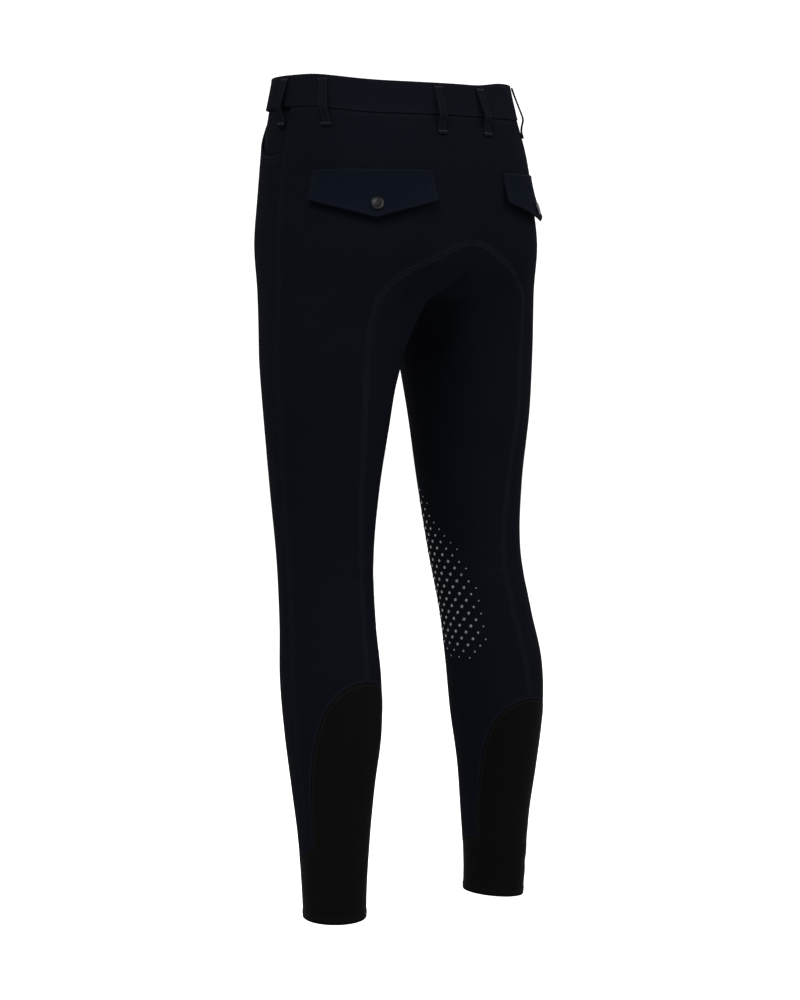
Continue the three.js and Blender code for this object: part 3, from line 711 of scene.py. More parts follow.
def back_panel(side):
    calf = CALF[side]
    panel = Panel(side, 20)
    columns = COLUMNS_SLIVER + COLUMNS_DOME_BACK
    band_z = BAND_BOTTOM - BAND_DIP
    waist = waist_seam(SIDE_SEAM, middle_angle(1, [band_z])[0] - 360, columns + ROWS_GUSSET)
    centre = middle_seam(1, band_z, SEAT_APEX, ROWS_CENTRE)
    centre[:, 0] -= 360
    waist[-1] = centre[0]
    seat = seat_arch(ROWS_GUSSET)
    seat[0] = centre[-1]
    back_z = mix(CROTCH, calf["dome_top"], steps(ROWS_THIGH) ** 1.08)
    back = nodes(seat_angle(back_z), back_z)
    back[0] = seat[-1]
    dome_top = dome_edge(calf, 1, 90, SHOULDER_TURN, COLUMNS_DOME_BACK)
    back[-1] = dome_top[0]
    dome_side = dome_edge(calf, 1, SHOULDER_TURN, 0, ROWS_CALF)
    knee = dome_side[0, 1]
    cuff = nodes(mix(DOME_ANGLE, SIDE_SEAM, steps(COLUMNS_SLIVER)), cuff_height(calf, SIDE_SEAM))
    cuff[0] = dome_side[-1]
    calf_side = nodes(SIDE_SEAM, mix(cuff[-1, 1], knee, steps(ROWS_CALF)))
    thigh_side = nodes(SIDE_SEAM, mix(knee, CROTCH, 1 - (steps(ROWS_THIGH)[::-1]) ** 1.08))
    hip_side = nodes(SIDE_SEAM, mix(CROTCH, waist[0, 1], steps(ROWS_CENTRE)))
    loop, where = join(
        ("waist", waist), ("centre", centre), ("seat", seat), ("back", back), ("dome_top", dome_top),
        ("dome_side", dome_side), ("cuff", cuff), ("calf_side", calf_side), ("thigh_side", thigh_side),
        ("hip_side", hip_side),
    )
    height = heights(loop, where, {
        "seat": 0.3, "back": 0.3, "dome_top": 0.6, "dome_side": 0.6, "cuff": 0.5, "calf_side": 0.15,
        "thigh_side": 0.15, "hip_side": 0.15,
    })
    inner = panel.border(loop, height)
    edge = {name: inner[index] for name, index in where.items()}
    seat_line = line(edge["hip_side"][0], edge["back"][0], columns)
    knee_line = line(edge["calf_side"][-1], edge["dome_side"][0], COLUMNS_SLIVER)
    panel.patch(edge["waist"], np.concatenate([seat_line, edge["seat"][::-1][1:]]),
                edge["hip_side"][::-1], edge["centre"])
    panel.patch(seat_line, np.concatenate([knee_line, edge["dome_top"][::-1][1:]]),
                edge["thigh_side"][::-1], edge["back"])
    panel.patch(knee_line, edge["cuff"][::-1], edge["calf_side"][::-1], edge["dome_side"])
    return panel, loop, where


COLUMNS_CUFF = 60
ROWS_CUFF = 14


def calf_panel(side):
    calf = CALF[side]
    panel = Panel(side, 0)
    climb = dome_edge(calf, -1, 0, SHOULDER_TURN, ROWS_CALF)
    crown = np.concatenate([
        dome_edge(calf, -1, SHOULDER_TURN, 90, COLUMNS_DOME_BACK),
        dome_edge(calf, 1, 90, SHOULDER_TURN, COLUMNS_DOME_BACK)[1:],
    ])
    fall = dome_edge(calf, 1, SHOULDER_TURN, 0, ROWS_CALF)
    angle = mix(DOME_ANGLE, 360 - DOME_ANGLE, steps(COLUMNS_CUFF))
    cuff = nodes(angle, cuff_height(calf, angle))
    cuff[0] = fall[-1]
    cuff[-1] = turned(climb[:1])[0]
    loop = np.concatenate([climb[:-1], crown[:-1], fall[:-1], cuff])
    count = [0, ROWS_CALF, 2 * COLUMNS_DOME_BACK, ROWS_CALF, COLUMNS_CUFF]
    start = np.cumsum(count)
    where = {
        name: np.arange(start[k], start[k + 1] + 1)
        for k, name in enumerate(("climb", "crown", "fall", "cuff"))
    }
    inner = panel.border(loop, np.full(len(loop), 0.8), closed=False)
    edge = {name: inner[index] for name, index in where.items()}
    base = line(edge["climb"][0], edge["fall"][-1], 2 * COLUMNS_DOME_BACK)
    panel.patch(edge["crown"], base, edge["climb"][::-1], edge["fall"])
    around = np.concatenate([base, edge["cuff"][1:]])
    around[-1] = turned(around[:1])[0]
    hem = nodes(around[:, 0], hem_height(calf, around[:, 0]))
    near_hem = [0.84, 0.86, 0.88, 0.9, 0.94, 0.97, 0.985, 0.995, 1]
    down = np.concatenate([mix(0, 0.8, steps(ROWS_CUFF)), near_hem])
    seam = mix(around[None], hem[None], down[:, None, None]).reshape(-1, 3)
    points, normals = place(seam)
    left = (1 - down) * abs(calf["hem"] - calf["cuff_side"])
    fold_edge = 0.35 * smooth((HEM_DEPTH + 1 - left) / 1.5) - 0.7 * smooth((1 - left) / 1)
    lift = np.repeat(fold_edge, len(around))
    panel.lay(seam, points, normals, lift, len(down) - 1, len(around) - 1)
    return panel, loop, where, hem


# Small pieces of cloth


def bordered(length, count, edge=(0.0, 0.4, 0.9, 1.8, 3.0)):
    """Fractions of a length, close together near both ends for the rolled edges."""
    edge = np.array(edge)
    inside = np.linspace(edge[-1], length - edge[-1], count + 1)[1:-1]
    return np.concatenate([edge, inside, length - edge[::-1]]) / length


def rolled(distance, drop=0.6, rise=0.15):
    """Height of folded cloth at a distance from its edge."""
    return np.interp(distance, [0, 0.4, 0.9, 1.8, 3.0], [-drop, -drop * 0.3, rise * 0.6, rise, 0])


def painted_highlight_near(edge):
    """How much painted highlight a spot at a distance from the edge gets, most where the rolled edge
    stands highest.
    """
    return np.exp(-((edge - 1.8) / 1.2) ** 2)


def from_ends(fractions, length):
    return np.minimum(fractions, 1 - fractions) * length


def band_rise(angle, level):
    """The top of the band stands a little higher on the wearer's right."""
    right = smooth((angle - 100) / 32) * smooth((215 - angle) / 32)
    return BAND_RISE * right * (level - BAND_BOTTOM) / (BAND_TOP - BAND_BOTTOM)


def waistband():
    front_y = on_middle(-1, 0, 0)[0][0, 1]
    overhang = math.degrees(math.atan(LAP_END / -front_y))
    ramp = math.degrees(math.atan(LAP_RAMP / -front_y))
    turns = bordered(960, 230)
    levels = bordered(BAND_TOP - BAND_BOTTOM, 9)
    angle = np.repeat(mix(-90 - overhang, 270 + overhang, turns), len(levels))
    level = np.tile(mix(BAND_TOP, BAND_BOTTOM, levels), len(turns))
    past = (angle - (-90 + overhang)) / ramp
    lap = (BAND_OUTER + CLOTH + REST) * (1 - smooth(past))
    height = level - dip(on_waist(angle, level)[0][:, 1]) + band_rise(angle, level)
    drop = LAP_DROP * smooth((lap - CLOTH + 0.3) * 2)
    height += np.where(level < BAND_BOTTOM + 0.01, BAND_CLEAR - drop, 0)
    points, normals = on_waist(angle, height)
    points = points + normals * lap[:, None]
    across = np.tile(from_ends(levels, BAND_TOP - BAND_BOTTOM), len(turns))
    along = np.repeat(from_ends(turns, 960), len(levels))
    edge = np.minimum(across, along)
    ease = 0.25 * np.sin(np.radians(angle) * 23) * np.sin(np.radians(angle) * 7 + 1)
    sheet = Sheet()
    uv = np.column_stack([np.radians(angle) * 130, level])
    sheet.grid(points, normals, rolled(edge), ease * smooth(across / 6), uv,
               len(turns) - 1, len(levels) - 1, painted_highlight_near(edge))
    return sheet.shell("waistband_cloth", -CLOTH, BAND_OUTER)


def fly_edge(z):
    turn = np.clip((FLY["bend"] - z) / (FLY["bend"] - FLY["bottom"]), 0, 1)
    return mix(FLY["right"] + 5, FLY["left"], np.sqrt(1 - turn * turn))


def fly_placket():
    rows = bordered(FLY["top"] - FLY["bottom"], 30)
    columns = bordered(FLY["left"] - FLY["right"], 8)
    z = np.repeat(mix(FLY["top"], FLY["bottom"], rows), len(columns))
    u = np.tile(columns, len(rows))
    x = mix(fly_edge(z), FLY["right"], u)
    points, normals = on_middle(-1, z, x)
    from_side = np.tile(from_ends(columns, FLY["left"] - FLY["right"]), len(rows))
    from_foot = np.repeat((1 - rows) * (FLY["top"] - FLY["bottom"]), len(columns))
    edge = np.minimum(from_side, from_foot)
    sheet = Sheet()
    sheet.grid(points, normals, rolled(edge, 0.5), 0.0, np.column_stack([x, z]),
               len(rows) - 1, len(columns) - 1, painted_highlight_near(edge))
    return sheet.shell("fly_placket_cloth", REST, REST + TRIM)


def pocket_facing(mirror):
    rows, columns = 16, 40
    angle = np.tile(mix(FACING[0, 0], FACING[-1, 0], steps(columns)), rows + 1)
    t = np.repeat(steps(rows), columns + 1)
    z = mix(BAND_BOTTOM + 4, read(FACING, angle)[0], t)
    points, normals = on_leg(angle, z)
    sheet = Sheet()
    uv = np.column_stack([np.radians(angle) * 85, z])
    sheet.grid(points, normals, 0.0, 0.0, uv, rows, columns)
    name = "pocket_facing_cloth_" + ("right" if mirror else "left")
    return sheet.shell(name, -FACING_DEPTH - TRIM, -FACING_DEPTH, mirror=mirror)


def flap_spot(across, down):
    inward = across < 0.5
    inner = FLAP["inner"] - FLAP_FLARE["inner"] * down
    outer = FLAP["outer"] - FLAP_FLARE["outer"] * down
    angle = np.where(inward, mix(inner, FLAP["tip"], across * 2), mix(FLAP["tip"], outer, across * 2 - 1))
    low = mix(FLAP["point"], FLAP["side"], np.abs(across * 2 - 1))
    points, normals = on_leg(angle, mix(FLAP["top"], low, down))
    return points + normals * (REST + FLAP["lift"] * down * down)[:, None], normals


FLAP_WIDTH = 128
FLAP_HEIGHT = 44


def pocket_flap(mirror):
    columns = bordered(FLAP_WIDTH, 34)
    rows = bordered(FLAP_HEIGHT, 11)
    across = np.tile(columns, len(rows))
    down = np.repeat(rows, len(columns))
    points, normals = flap_spot(across, down)
    side = np.tile(from_ends(columns, FLAP_WIDTH), len(rows))
    edge = np.minimum(side, np.repeat(from_ends(rows, FLAP_HEIGHT), len(columns)))
    sheet = Sheet()
    uv = np.column_stack([across * FLAP_WIDTH, -down * FLAP_HEIGHT])
    sheet.grid(points, normals, rolled(edge, 0.55, 0.3), 0.0, uv,
               len(rows) - 1, len(columns) - 1, painted_highlight_near(edge))
    name = "pocket_flap_cloth_" + ("right" if mirror else "left")
    return sheet.shell(name, 0, TRIM, mirror=mirror)


def loop_path(loop, mirror, t):
    """Points, normals and level directions along a belt loop, and how far it stands off."""
    angle = 180 - loop["right"] if mirror else loop["left"]
    sink = dip(on_waist(angle, BAND_BOTTOM)[0][0, 1])
    rise = BAND_RISE * t if mirror and loop is LOOPS["hip"] else 0
    level = mix(LOOP["bottom"], LOOP["top"], t) - sink + rise
    points, normals = on_waist(angle + loop["lean"] * (1 - t), level)
    over_band = (BAND_OUTER + 0.1) * smooth((t - 0.2) / 0.15)
    arch = loop["arch"] * smooth((t - 0.08) / 0.3) * np.clip((0.97 - t) / 0.55, 0, 1)
    sideways = np.cross([0, 0, 1], normals)
    sideways /= np.linalg.norm(sideways, axis=1, keepdims=True)
    return points, normals, sideways, REST + over_band + arch


def belt_loop(place_name, mirror):
    t = np.repeat(steps(44), 9)
    across = np.tile(np.array([-5.5, -5.2, -4.6, -3.6, 0, 3.6, 4.6, 5.2, 5.5]), 45)
    points, normals, sideways, stand = loop_path(LOOPS[place_name], mirror, t)
    points = points + normals * stand[:, None] + sideways * across[:, None]
    edge = LOOP["width"] / 2 - np.abs(across)
    crown = np.interp(edge, [0, 0.3, 0.9, 1.9, 5.5], [-0.75, -0.25, 0.05, -0.1, 0.1])
    sheet = Sheet()
    uv = np.column_stack([across, t * 60])
    # The loop's edges get a painted highlight, strongest 1 mm in from each edge.
    sheet.grid(points, normals, crown, 0.0, uv, 44, 8, np.exp(-(edge - 1) ** 2))
    name = "belt_loop_cloth_" + place_name + ("_right" if mirror else "_left")
    return sheet.shell(name, 0, LOOP["thick"], mirror=mirror)


# Snaps: plain domed caps with a rolled rim


def snap_cap(name, spot, direction, mirror=False):
    radius, height = SNAP["radius"], SNAP["height"]
    profile = [
        (0, 0), (radius - 0.7, 0), (radius - 0.15, 0.25), (radius, 0.8), (radius - 0.05, 1.35),
        (radius - 0.45, height - 0.55), (radius - 1.1, height - 0.22), (radius - 1.8, height - 0.2),
        (radius - 2.2, height - 0.45), (radius - 2.7, height - 0.35), (radius - 3.6, height - 0.08),
        (radius - 5.2, height), (0, height + 0.05),
    ]
    direction = direction / np.linalg.norm(direction)
    side = np.cross(direction, [0, 0, 1])
    side /= np.linalg.norm(side)
    up = np.cross(side, direction)
    count = 56
    turn = np.linspace(0, 2 * np.pi, count, endpoint=False)
    circle = np.cos(turn)[:, None] * side + np.sin(turn)[:, None] * up
    corners = [spot + direction * profile[0][1], spot + direction * profile[-1][1]]
    rings = profile[1:-1]
    for out, high in rings:
        corners.extend(spot + circle * out + direction * high)
    faces = []
    for k in range(count):
        after = (k + 1) % count
        faces.append([0, 2 + after, 2 + k])
        for ring in range(len(rings) - 1):
            low = 2 + ring * count
            faces.append([low + k, low + after, low + count + after, low + count + k])
        last = 2 + (len(rings) - 1) * count
        faces.append([1, last + k, last + after])
    return make_mesh(name, corners, faces, mirror=mirror)


def flap_snap(mirror):
    down = np.array([(FLAP["top"] - SNAP["z"]) / (FLAP["top"] - FLAP["point"])])
    middle = np.array([0.5])

    def outside(across, low):
        points, normals = flap_spot(across, low)
        return (points + normals * TRIM)[0]

    along = outside(middle + 0.02, down) - outside(middle - 0.02, down)
    drop = outside(middle, down + 0.02) - outside(middle, down - 0.02)
    direction = np.cross(along, drop)
    direction *= np.sign(direction[1]) / np.linalg.norm(direction)
    name = "flap_snap_cap_" + ("right" if mirror else "left")
    return snap_cap(name, outside(middle, down) + direction * REST, direction, mirror)


def waist_snap():
    points, normals = on_middle(-1, 2, 0)
    stand = BAND_OUTER + (BAND_OUTER + CLOTH + REST) + REST
    return snap_cap("waist_snap_cap", points[0] + normals[0] * stand, normals[0])


# Stitching


class Thread:
    """Short stitches along lines on the cloth, gathered in one piece."""

    def __init__(self, name, mirror=False):
        self.name = name
        self.mirror = mirror
        self.corners = []
        self.faces = []

    def run(self, points, normals, height=0.12, pitch=STITCH["pitch"], length=STITCH["length"]):
        """Stitches end to end along a row of points, each dipping into the cloth at its ends."""
        steps_long = np.linalg.norm(np.diff(points, axis=0), axis=1)
        along = np.concatenate([[0], np.cumsum(steps_long)])
        count = int(along[-1] // pitch)
        starts = pitch * np.arange(count) + (along[-1] - pitch * count) / 2
        self.between(points, normals, along, starts, starts + length, height)

    def between(self, points, normals, along, starts, ends, height, radius=STITCH["radius"]):
        marks = starts[:, None] + (ends - starts)[:, None] * np.array([0, 0.18, 0.5, 0.82, 1])
        spots = np.stack([np.interp(marks, along, points[:, k]) for k in range(3)], axis=-1)
        up = np.stack([np.interp(marks, along, normals[:, k]) for k in range(3)], axis=-1)
        self.bars(spots, up, height, radius)

    def bars(self, spots, up, height, radius):
        """Stitches through five spots each: spots and up have the shape (stitches, 5, 3)."""
        up = up / np.linalg.norm(up, axis=-1, keepdims=True)
        ahead = spots[:, -1:] - spots[:, :1]
        ahead = ahead / np.linalg.norm(ahead, axis=-1, keepdims=True)
        side = np.cross(up, ahead)
        side /= np.linalg.norm(side, axis=-1, keepdims=True)
        lift = height * np.array([-2.2, 0.5, 1, 0.5, -2.2])
        spots = spots + up * lift[None, :, None]
        width = radius * np.array([0.45, 1, 1.1, 1, 0.45])
        turn = np.linspace(0, 2 * np.pi, 6, endpoint=False)
        ring = (np.cos(turn)[:, None] * side[:, :, None] + np.sin(turn)[:, None] * up[:, :, None])
        corners = spots[:, :, None] + ring * width[None, :, None, None]
        start = sum(len(block) for block in self.corners)
        ids = start + np.arange(corners[..., 0].size).reshape(corners.shape[:3])
        after = np.roll(ids, -1, axis=2)
        quads = np.stack([ids[:, :-1], after[:, :-1], after[:, 1:], ids[:, 1:]], axis=-1)
        self.corners.append(corners.reshape(-1, 3))
        self.faces.extend(quads.reshape(-1, 4).tolist())

    def piece(self):
        return make_mesh(self.name, np.concatenate(self.corners), self.faces, mirror=self.mirror)


def seam_run(thread, side, loop, index, gap, height, closed=True):
    """A row of stitches along part of a panel's edge."""
    rows = inset(loop, gap, closed)[index]
    points, normals = place(rows)
    fold = fold_height(side, rows[:, 0], rows[:, 1]) * smooth((points[:, 0] - MIDDLE) / FADE_FROM_MIDDLE)
    points = points + normals * (fold + height)[:, None]
    keep = np.concatenate([[True], np.linalg.norm(np.diff(points, axis=0), axis=1) > 1e-4])
    thread.run(points[keep], normals[keep])


def seam_ladder(thread, side, loop, index):
    """Cover threads that lie side by side across a seam."""
    seam = loop[index]
    points, normals = place(seam)
    fold = fold_height(side, seam[:, 0], seam[:, 1]) * smooth((points[:, 0] - MIDDLE) / FADE_FROM_MIDDLE)
    points = points + normals * fold[:, None]
    along = np.concatenate([[0], np.cumsum(np.linalg.norm(np.diff(points, axis=0), axis=1))])
    marks = np.arange(4, along[-1] - 2, LADDER["pitch"])
    spots = np.stack([np.interp(marks, along, points[:, k]) for k in range(3)], axis=-1)
    ahead = np.stack([np.interp(marks + 1, along, points[:, k]) for k in range(3)], axis=-1) - spots
    up = np.stack([np.interp(marks, along, normals[:, k]) for k in range(3)], axis=-1)
    across = np.cross(up, ahead)
    across /= np.linalg.norm(across, axis=1, keepdims=True)
    reach = np.array([-1, -0.6, 0, 0.6, 1]) * LADDER["reach"]
    thread.bars(spots[:, None] + reach[None, :, None] * across[:, None], np.repeat(up[:, None], 5, axis=1),
                LADDER["height"], LADDER["radius"])


def bar_tack(thread, centre, across, along, normal, wide, tall):
    """Close threads side by side, stitched over the end of a loop or flap."""
    count = int(wide / 0.42)
    offsets = np.linspace(-wide / 2, wide / 2, count)
    marks = np.array([-0.5, -0.3, 0, 0.3, 0.5]) * tall
    spots = centre + offsets[:, None, None] * across + marks[None, :, None] * along
    up = np.broadcast_to(normal, spots.shape)
    thread.bars(spots, up, 0.1, 0.24)


# Knee grip: plain silicone dots in a staggered lattice, smaller towards the edge of the patch

GRIP = np.array([[236, -428], [268, -478], [300, -520], [314, -552], [318, -600], [312, -636], [288, -648],
                 [250, -644], [222, -634], [206, -600], [206, -520], [216, -460]])
GRIP_PITCH_WIDE = 15.0
GRIP_PITCH_TALL = 7.4
GRIP_DOT = {"small": 0.8, "large": 1.8, "height": 0.6}


def grip_depth(angle, z):
    """How far inside the patch a spot lies, in millimetres, below zero outside it."""
    radius = math.radians(1) * 54
    spot = np.stack([angle * radius, z], axis=-1)
    outline = GRIP * np.array([radius, 1])
    inside = np.zeros(len(spot), bool)
    nearest = np.full(len(spot), 1e9)
    for a, b in zip(outline, np.roll(outline, -1, axis=0)):
        t = np.clip(((spot - a) @ (b - a)) / ((b - a) @ (b - a)), 0, 1)
        nearest = np.minimum(nearest, np.linalg.norm(spot - a - t[:, None] * (b - a), axis=1))
        crosses = (a[1] > spot[:, 1]) != (b[1] > spot[:, 1])
        rise = b[1] - a[1] if abs(b[1] - a[1]) > 1e-9 else 1e-9
        level = a[0] + (spot[:, 1] - a[1]) * (b[0] - a[0]) / rise
        inside ^= crosses & (spot[:, 0] < level)
    return np.where(inside, nearest, -nearest)


def grip_dots(side):
    radius = math.radians(1) * 54
    rows = np.arange(-650, -420, GRIP_PITCH_TALL)
    columns = np.arange(200, 322, GRIP_PITCH_WIDE / radius)
    z = np.repeat(rows, len(columns))
    stagger = np.repeat(np.arange(len(rows)) % 2, len(columns)) * GRIP_PITCH_WIDE / radius / 2
    angle = np.tile(columns, len(rows)) + stagger
    depth = grip_depth(angle, z)
    angle, z, depth = angle[depth > 1.5], z[depth > 1.5], depth[depth > 1.5]
    points, normals = on_leg(angle, z)
    points = points + normals * fold_height(side, angle, z)[:, None]
    size = mix(GRIP_DOT["small"], GRIP_DOT["large"], smooth(depth / 24))
    across = np.cross(normals, [0, 0, 1])
    across /= np.linalg.norm(across, axis=1, keepdims=True)
    up = np.cross(across, normals)
    turn = np.linspace(0, 2 * np.pi, 14, endpoint=False)
    ring = np.cos(turn)[None, :, None] * across[:, None] + np.sin(turn)[None, :, None] * up[:, None]
    corners = []
    faces = []
    profile = [(1.0, -0.3), (1.0, 0.25), (0.86, 0.7), (0.5, 0.95)]
    for k in range(len(points)):
        start = len(corners)
        high = GRIP_DOT["height"] * (0.55 + 0.45 * size[k] / GRIP_DOT["large"])
        for out, rise in profile:
            corners.extend(points[k] + ring[k] * out * size[k] + normals[k] * rise * high)
        corners.append(points[k] + normals[k] * high)
        corners.append(points[k] - normals[k] * 0.3 * high)
        for j in range(14):
            after = (j + 1) % 14
            for level in range(3):
                low = start + 14 * level
                faces.append([low + j, low + after, low + 14 + after, low + 14 + j])
            faces.append([start + 42 + j, start + 42 + after, start + 56])
            faces.append([start + after, start + j, start + 57])
    return make_mesh("grip_dots_" + side, corners, faces, mirror=side == "right")


# Materials


class Finish:
    """A node material under construction."""

    def __init__(self, name):
        self.material = bpy.data.materials.new(name)
        self.material.use_nodes = True
        self.tree = self.material.node_tree
        self.shader = self.tree.nodes["Principled BSDF"]

    def add(self, kind, inputs=None, **settings):
        node = self.tree.nodes.new(kind)
        for key, value in settings.items():
            setattr(node, key, value)
        for key, value in (inputs or {}).items():
            self.set(node, key, value)
        return node

    def set(self, node, key, value):
        socket = node.inputs[key]
        if isinstance(value, bpy.types.NodeSocket):
            self.tree.links.new(value, socket)
        else:
            socket.default_value = value

    def math(self, operation, one, two=0.0, three=0.0):
        node = self.add("ShaderNodeMath", {0: one, 1: two, 2: three}, operation=operation)
        return node.outputs[0]

    def noise(self, where, scale, detail=2.0, roughness=0.5):
        node = self.add("ShaderNodeTexNoise", {
            "Vector": where, "Scale": scale, "Detail": detail, "Roughness": roughness,
        })
        return node.outputs[0]

    def waves(self, where, pitch, turn, distortion=0.0):
        """Soft lines at a pitch in metres, turned by an angle in degrees."""
        turned = self.add("ShaderNodeMapping", {"Vector": where, "Rotation": (0, 0, math.radians(turn))})
        node = self.add("ShaderNodeTexWave", {
            "Vector": turned.outputs[0], "Scale": math.pi / 10 / pitch, "Distortion": distortion,
            "Detail": 1.0, "Detail Scale": 2.0,
        })
        return node.outputs["Fac"]

    def mix(self, share, one, two):
        node = self.add("ShaderNodeMix", {0: share, 6: one, 7: two}, data_type="RGBA")
        return node.outputs[2]

    def bump(self, height, distance, strength, under=None):
        inputs = {"Height": height, "Distance": distance, "Strength": strength}
        if under is not None:
            inputs["Normal"] = under
        return self.add("ShaderNodeBump", inputs).outputs[0]


def rgb(red, green, blue):
    return (red, green, blue, 1)


NAVY_DARK = rgb(0.0007, 0.00085, 0.0015)
NAVY_LIGHT = rgb(0.0014, 0.00165, 0.0026)
# Lighter navy mixed in along seams and rolled edges: a painted highlight.
NAVY_EDGE_HIGHLIGHT = rgb(0.0016, 0.0019, 0.0029)
BAND_DARK = rgb(0.0008, 0.001, 0.0017)
BAND_LIGHT = rgb(0.0016, 0.0019, 0.0029)
FLAP_DARK = rgb(0.0007, 0.001, 0.0019)
FLAP_LIGHT = rgb(0.0014, 0.0019, 0.0034)
BLACK_DARK = rgb(0.0006, 0.0006, 0.0006)
BLACK_LIGHT = rgb(0.00125, 0.00125, 0.0012)
# Lighter black mixed in along the calf panels' seams: a painted highlight.
BLACK_EDGE_HIGHLIGHT = rgb(0.0016, 0.0016, 0.0015)
SILICONE_DARK = rgb(0.014, 0.0155, 0.018)
SILICONE_LIGHT = rgb(0.042, 0.045, 0.05)
METAL_DARK = rgb(0.0034, 0.0034, 0.0036)
METAL_LIGHT = rgb(0.0085, 0.0085, 0.0088)


def woven_cloth(name, dark, light, painted_edge_highlight, pitch=0.00062):
    """Dense twill: diagonal ribs crossed by fine threads, with a soft nap."""
    finish = Finish(name)
    flat = finish.add("ShaderNodeUVMap", uv_map="cloth").outputs[0]
    place_in_space = finish.add("ShaderNodeTexCoord").outputs["Object"]
    twill = finish.waves(flat, pitch, 32, 0.6)
    threads = finish.waves(flat, pitch * 0.62, 90, 0.4)
    weft = finish.waves(flat, pitch * 0.9, 0, 0.4)
    fuzz = finish.noise(place_in_space, 2600.0, 2.0)
    mottle = finish.noise(place_in_space, 24.0, 4.0, 0.6)
    heather = finish.noise(place_in_space, 420.0, 2.0)
    # The vertex share read here lightens the cloth towards the edge colour along seams and rolled edges: a
    # painted highlight where raised edges catch light.
    seam = finish.add("ShaderNodeAttribute", attribute_name="painted_edge_highlight").outputs["Fac"]
    relief = finish.math("MULTIPLY_ADD", threads, 0.35, finish.math("MULTIPLY", twill, 0.5))
    relief = finish.math("MULTIPLY_ADD", weft, 0.2, relief)
    relief = finish.math("MULTIPLY_ADD", fuzz, 0.5, relief)
    shade = finish.math("MULTIPLY_ADD", mottle, 0.5, finish.math("MULTIPLY", heather, 0.25))
    shade = finish.math("MULTIPLY_ADD", twill, 0.25, shade)
    colour = finish.mix(shade, dark, light)
    colour = finish.mix(finish.math("MULTIPLY", seam, 0.45), colour, painted_edge_highlight)
    finish.set(finish.shader, "Base Color", colour)
    rough = finish.math("MULTIPLY_ADD", heather, 0.14, 0.8)
    finish.set(finish.shader, "Roughness", rough)
    finish.shader.inputs["Specular IOR Level"].default_value = 0.004
    finish.shader.inputs["Sheen Weight"].default_value = 0.001
    finish.shader.inputs["Sheen Roughness"].default_value = 0.45
    finish.shader.inputs["Sheen Tint"].default_value = rgb(0.55, 0.62, 0.8)
    wave = finish.bump(mottle, 0.0012, 0.25)
    finish.set(finish.shader, "Normal", finish.bump(relief, 0.00012, 0.75, wave))
    return finish.material


def ribbed_elastic(name):
    """Fine upright ribs of a stretch knit."""
    finish = Finish(name)
    flat = finish.add("ShaderNodeUVMap", uv_map="cloth").outputs[0]
    place_in_space = finish.add("ShaderNodeTexCoord").outputs["Object"]
    ribs = finish.waves(flat, 0.0011, 0, 0.3)
    courses = finish.waves(flat, 0.0007, 90, 0.5)
    fuzz = finish.noise(place_in_space, 2200.0, 2.0)
    mottle = finish.noise(place_in_space, 30.0, 3.0)
    # As in the twill, a painted highlight lightens the elastic along its seams.
    seam = finish.add("ShaderNodeAttribute", attribute_name="painted_edge_highlight").outputs["Fac"]
    relief = finish.math("MULTIPLY_ADD", courses, 0.3, finish.math("MULTIPLY", ribs, 0.7))
    relief = finish.math("MULTIPLY_ADD", fuzz, 0.4, relief)
    shade = finish.math("MULTIPLY_ADD", ribs, 0.45, finish.math("MULTIPLY", mottle, 0.5))
    colour = finish.mix(shade, BLACK_DARK, BLACK_LIGHT)
    colour = finish.mix(finish.math("MULTIPLY", seam, 0.35), colour, BLACK_EDGE_HIGHLIGHT)
    finish.set(finish.shader, "Base Color", colour)
    finish.set(finish.shader, "Roughness", finish.math("MULTIPLY_ADD", mottle, 0.16, 0.62))
    finish.shader.inputs["Specular IOR Level"].default_value = 0.005
    finish.shader.inputs["Sheen Weight"].default_value = 0.001
    finish.shader.inputs["Sheen Roughness"].default_value = 0.4
    finish.set(finish.shader, "Normal", finish.bump(relief, 0.00018, 0.7))
    return finish.material


def thread_finish(name, colour, light):
    finish = Finish(name)
    where = finish.add("ShaderNodeTexCoord").outputs["Object"]
    twist = finish.noise(where, 3000.0, 2.0)
    finish.set(finish.shader, "Base Color", finish.mix(twist, colour, light))
    finish.set(finish.shader, "Roughness", finish.math("MULTIPLY_ADD", twist, 0.2, 0.45))
    finish.shader.inputs["Specular IOR Level"].default_value = 0.04
    finish.set(finish.shader, "Normal", finish.bump(twist, 0.0001, 0.5))
    return finish.material


def silicone_finish():
    finish = Finish("grip_silicone")
    where = finish.add("ShaderNodeTexCoord").outputs["Object"]
    cloud = finish.noise(where, 160.0, 3.0)
    finish.set(finish.shader, "Base Color", finish.mix(cloud, SILICONE_DARK, SILICONE_LIGHT))
    finish.set(finish.shader, "Roughness", finish.math("MULTIPLY_ADD", cloud, 0.25, 0.28))
    finish.shader.inputs["Specular IOR Level"].default_value = 0.5
    finish.set(finish.shader, "Normal", finish.bump(finish.noise(where, 900.0, 2.0), 0.0001, 0.3))
    return finish.material


def snap_finish():
    finish = Finish("snap_gunmetal")
    where = finish.add("ShaderNodeTexCoord").outputs["Object"]
    wear = finish.noise(where, 300.0, 4.0, 0.6)
    scuffs = finish.noise(where, 1800.0, 2.0)
    finish.set(finish.shader, "Base Color", finish.mix(wear, METAL_DARK, METAL_LIGHT))
    finish.shader.inputs["Metallic"].default_value = 1.0
    finish.set(finish.shader, "Roughness", finish.math("MULTIPLY_ADD", wear, 0.3, 0.25))
    finish.set(finish.shader, "Normal", finish.bump(scuffs, 0.00005, 0.3))
    return finish.material


# Assembly


def dress(piece, material, replaced=()):
    piece.data.materials.append(material)
    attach(piece, "root")
    if replaced:
        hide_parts(*replaced)
    return piece


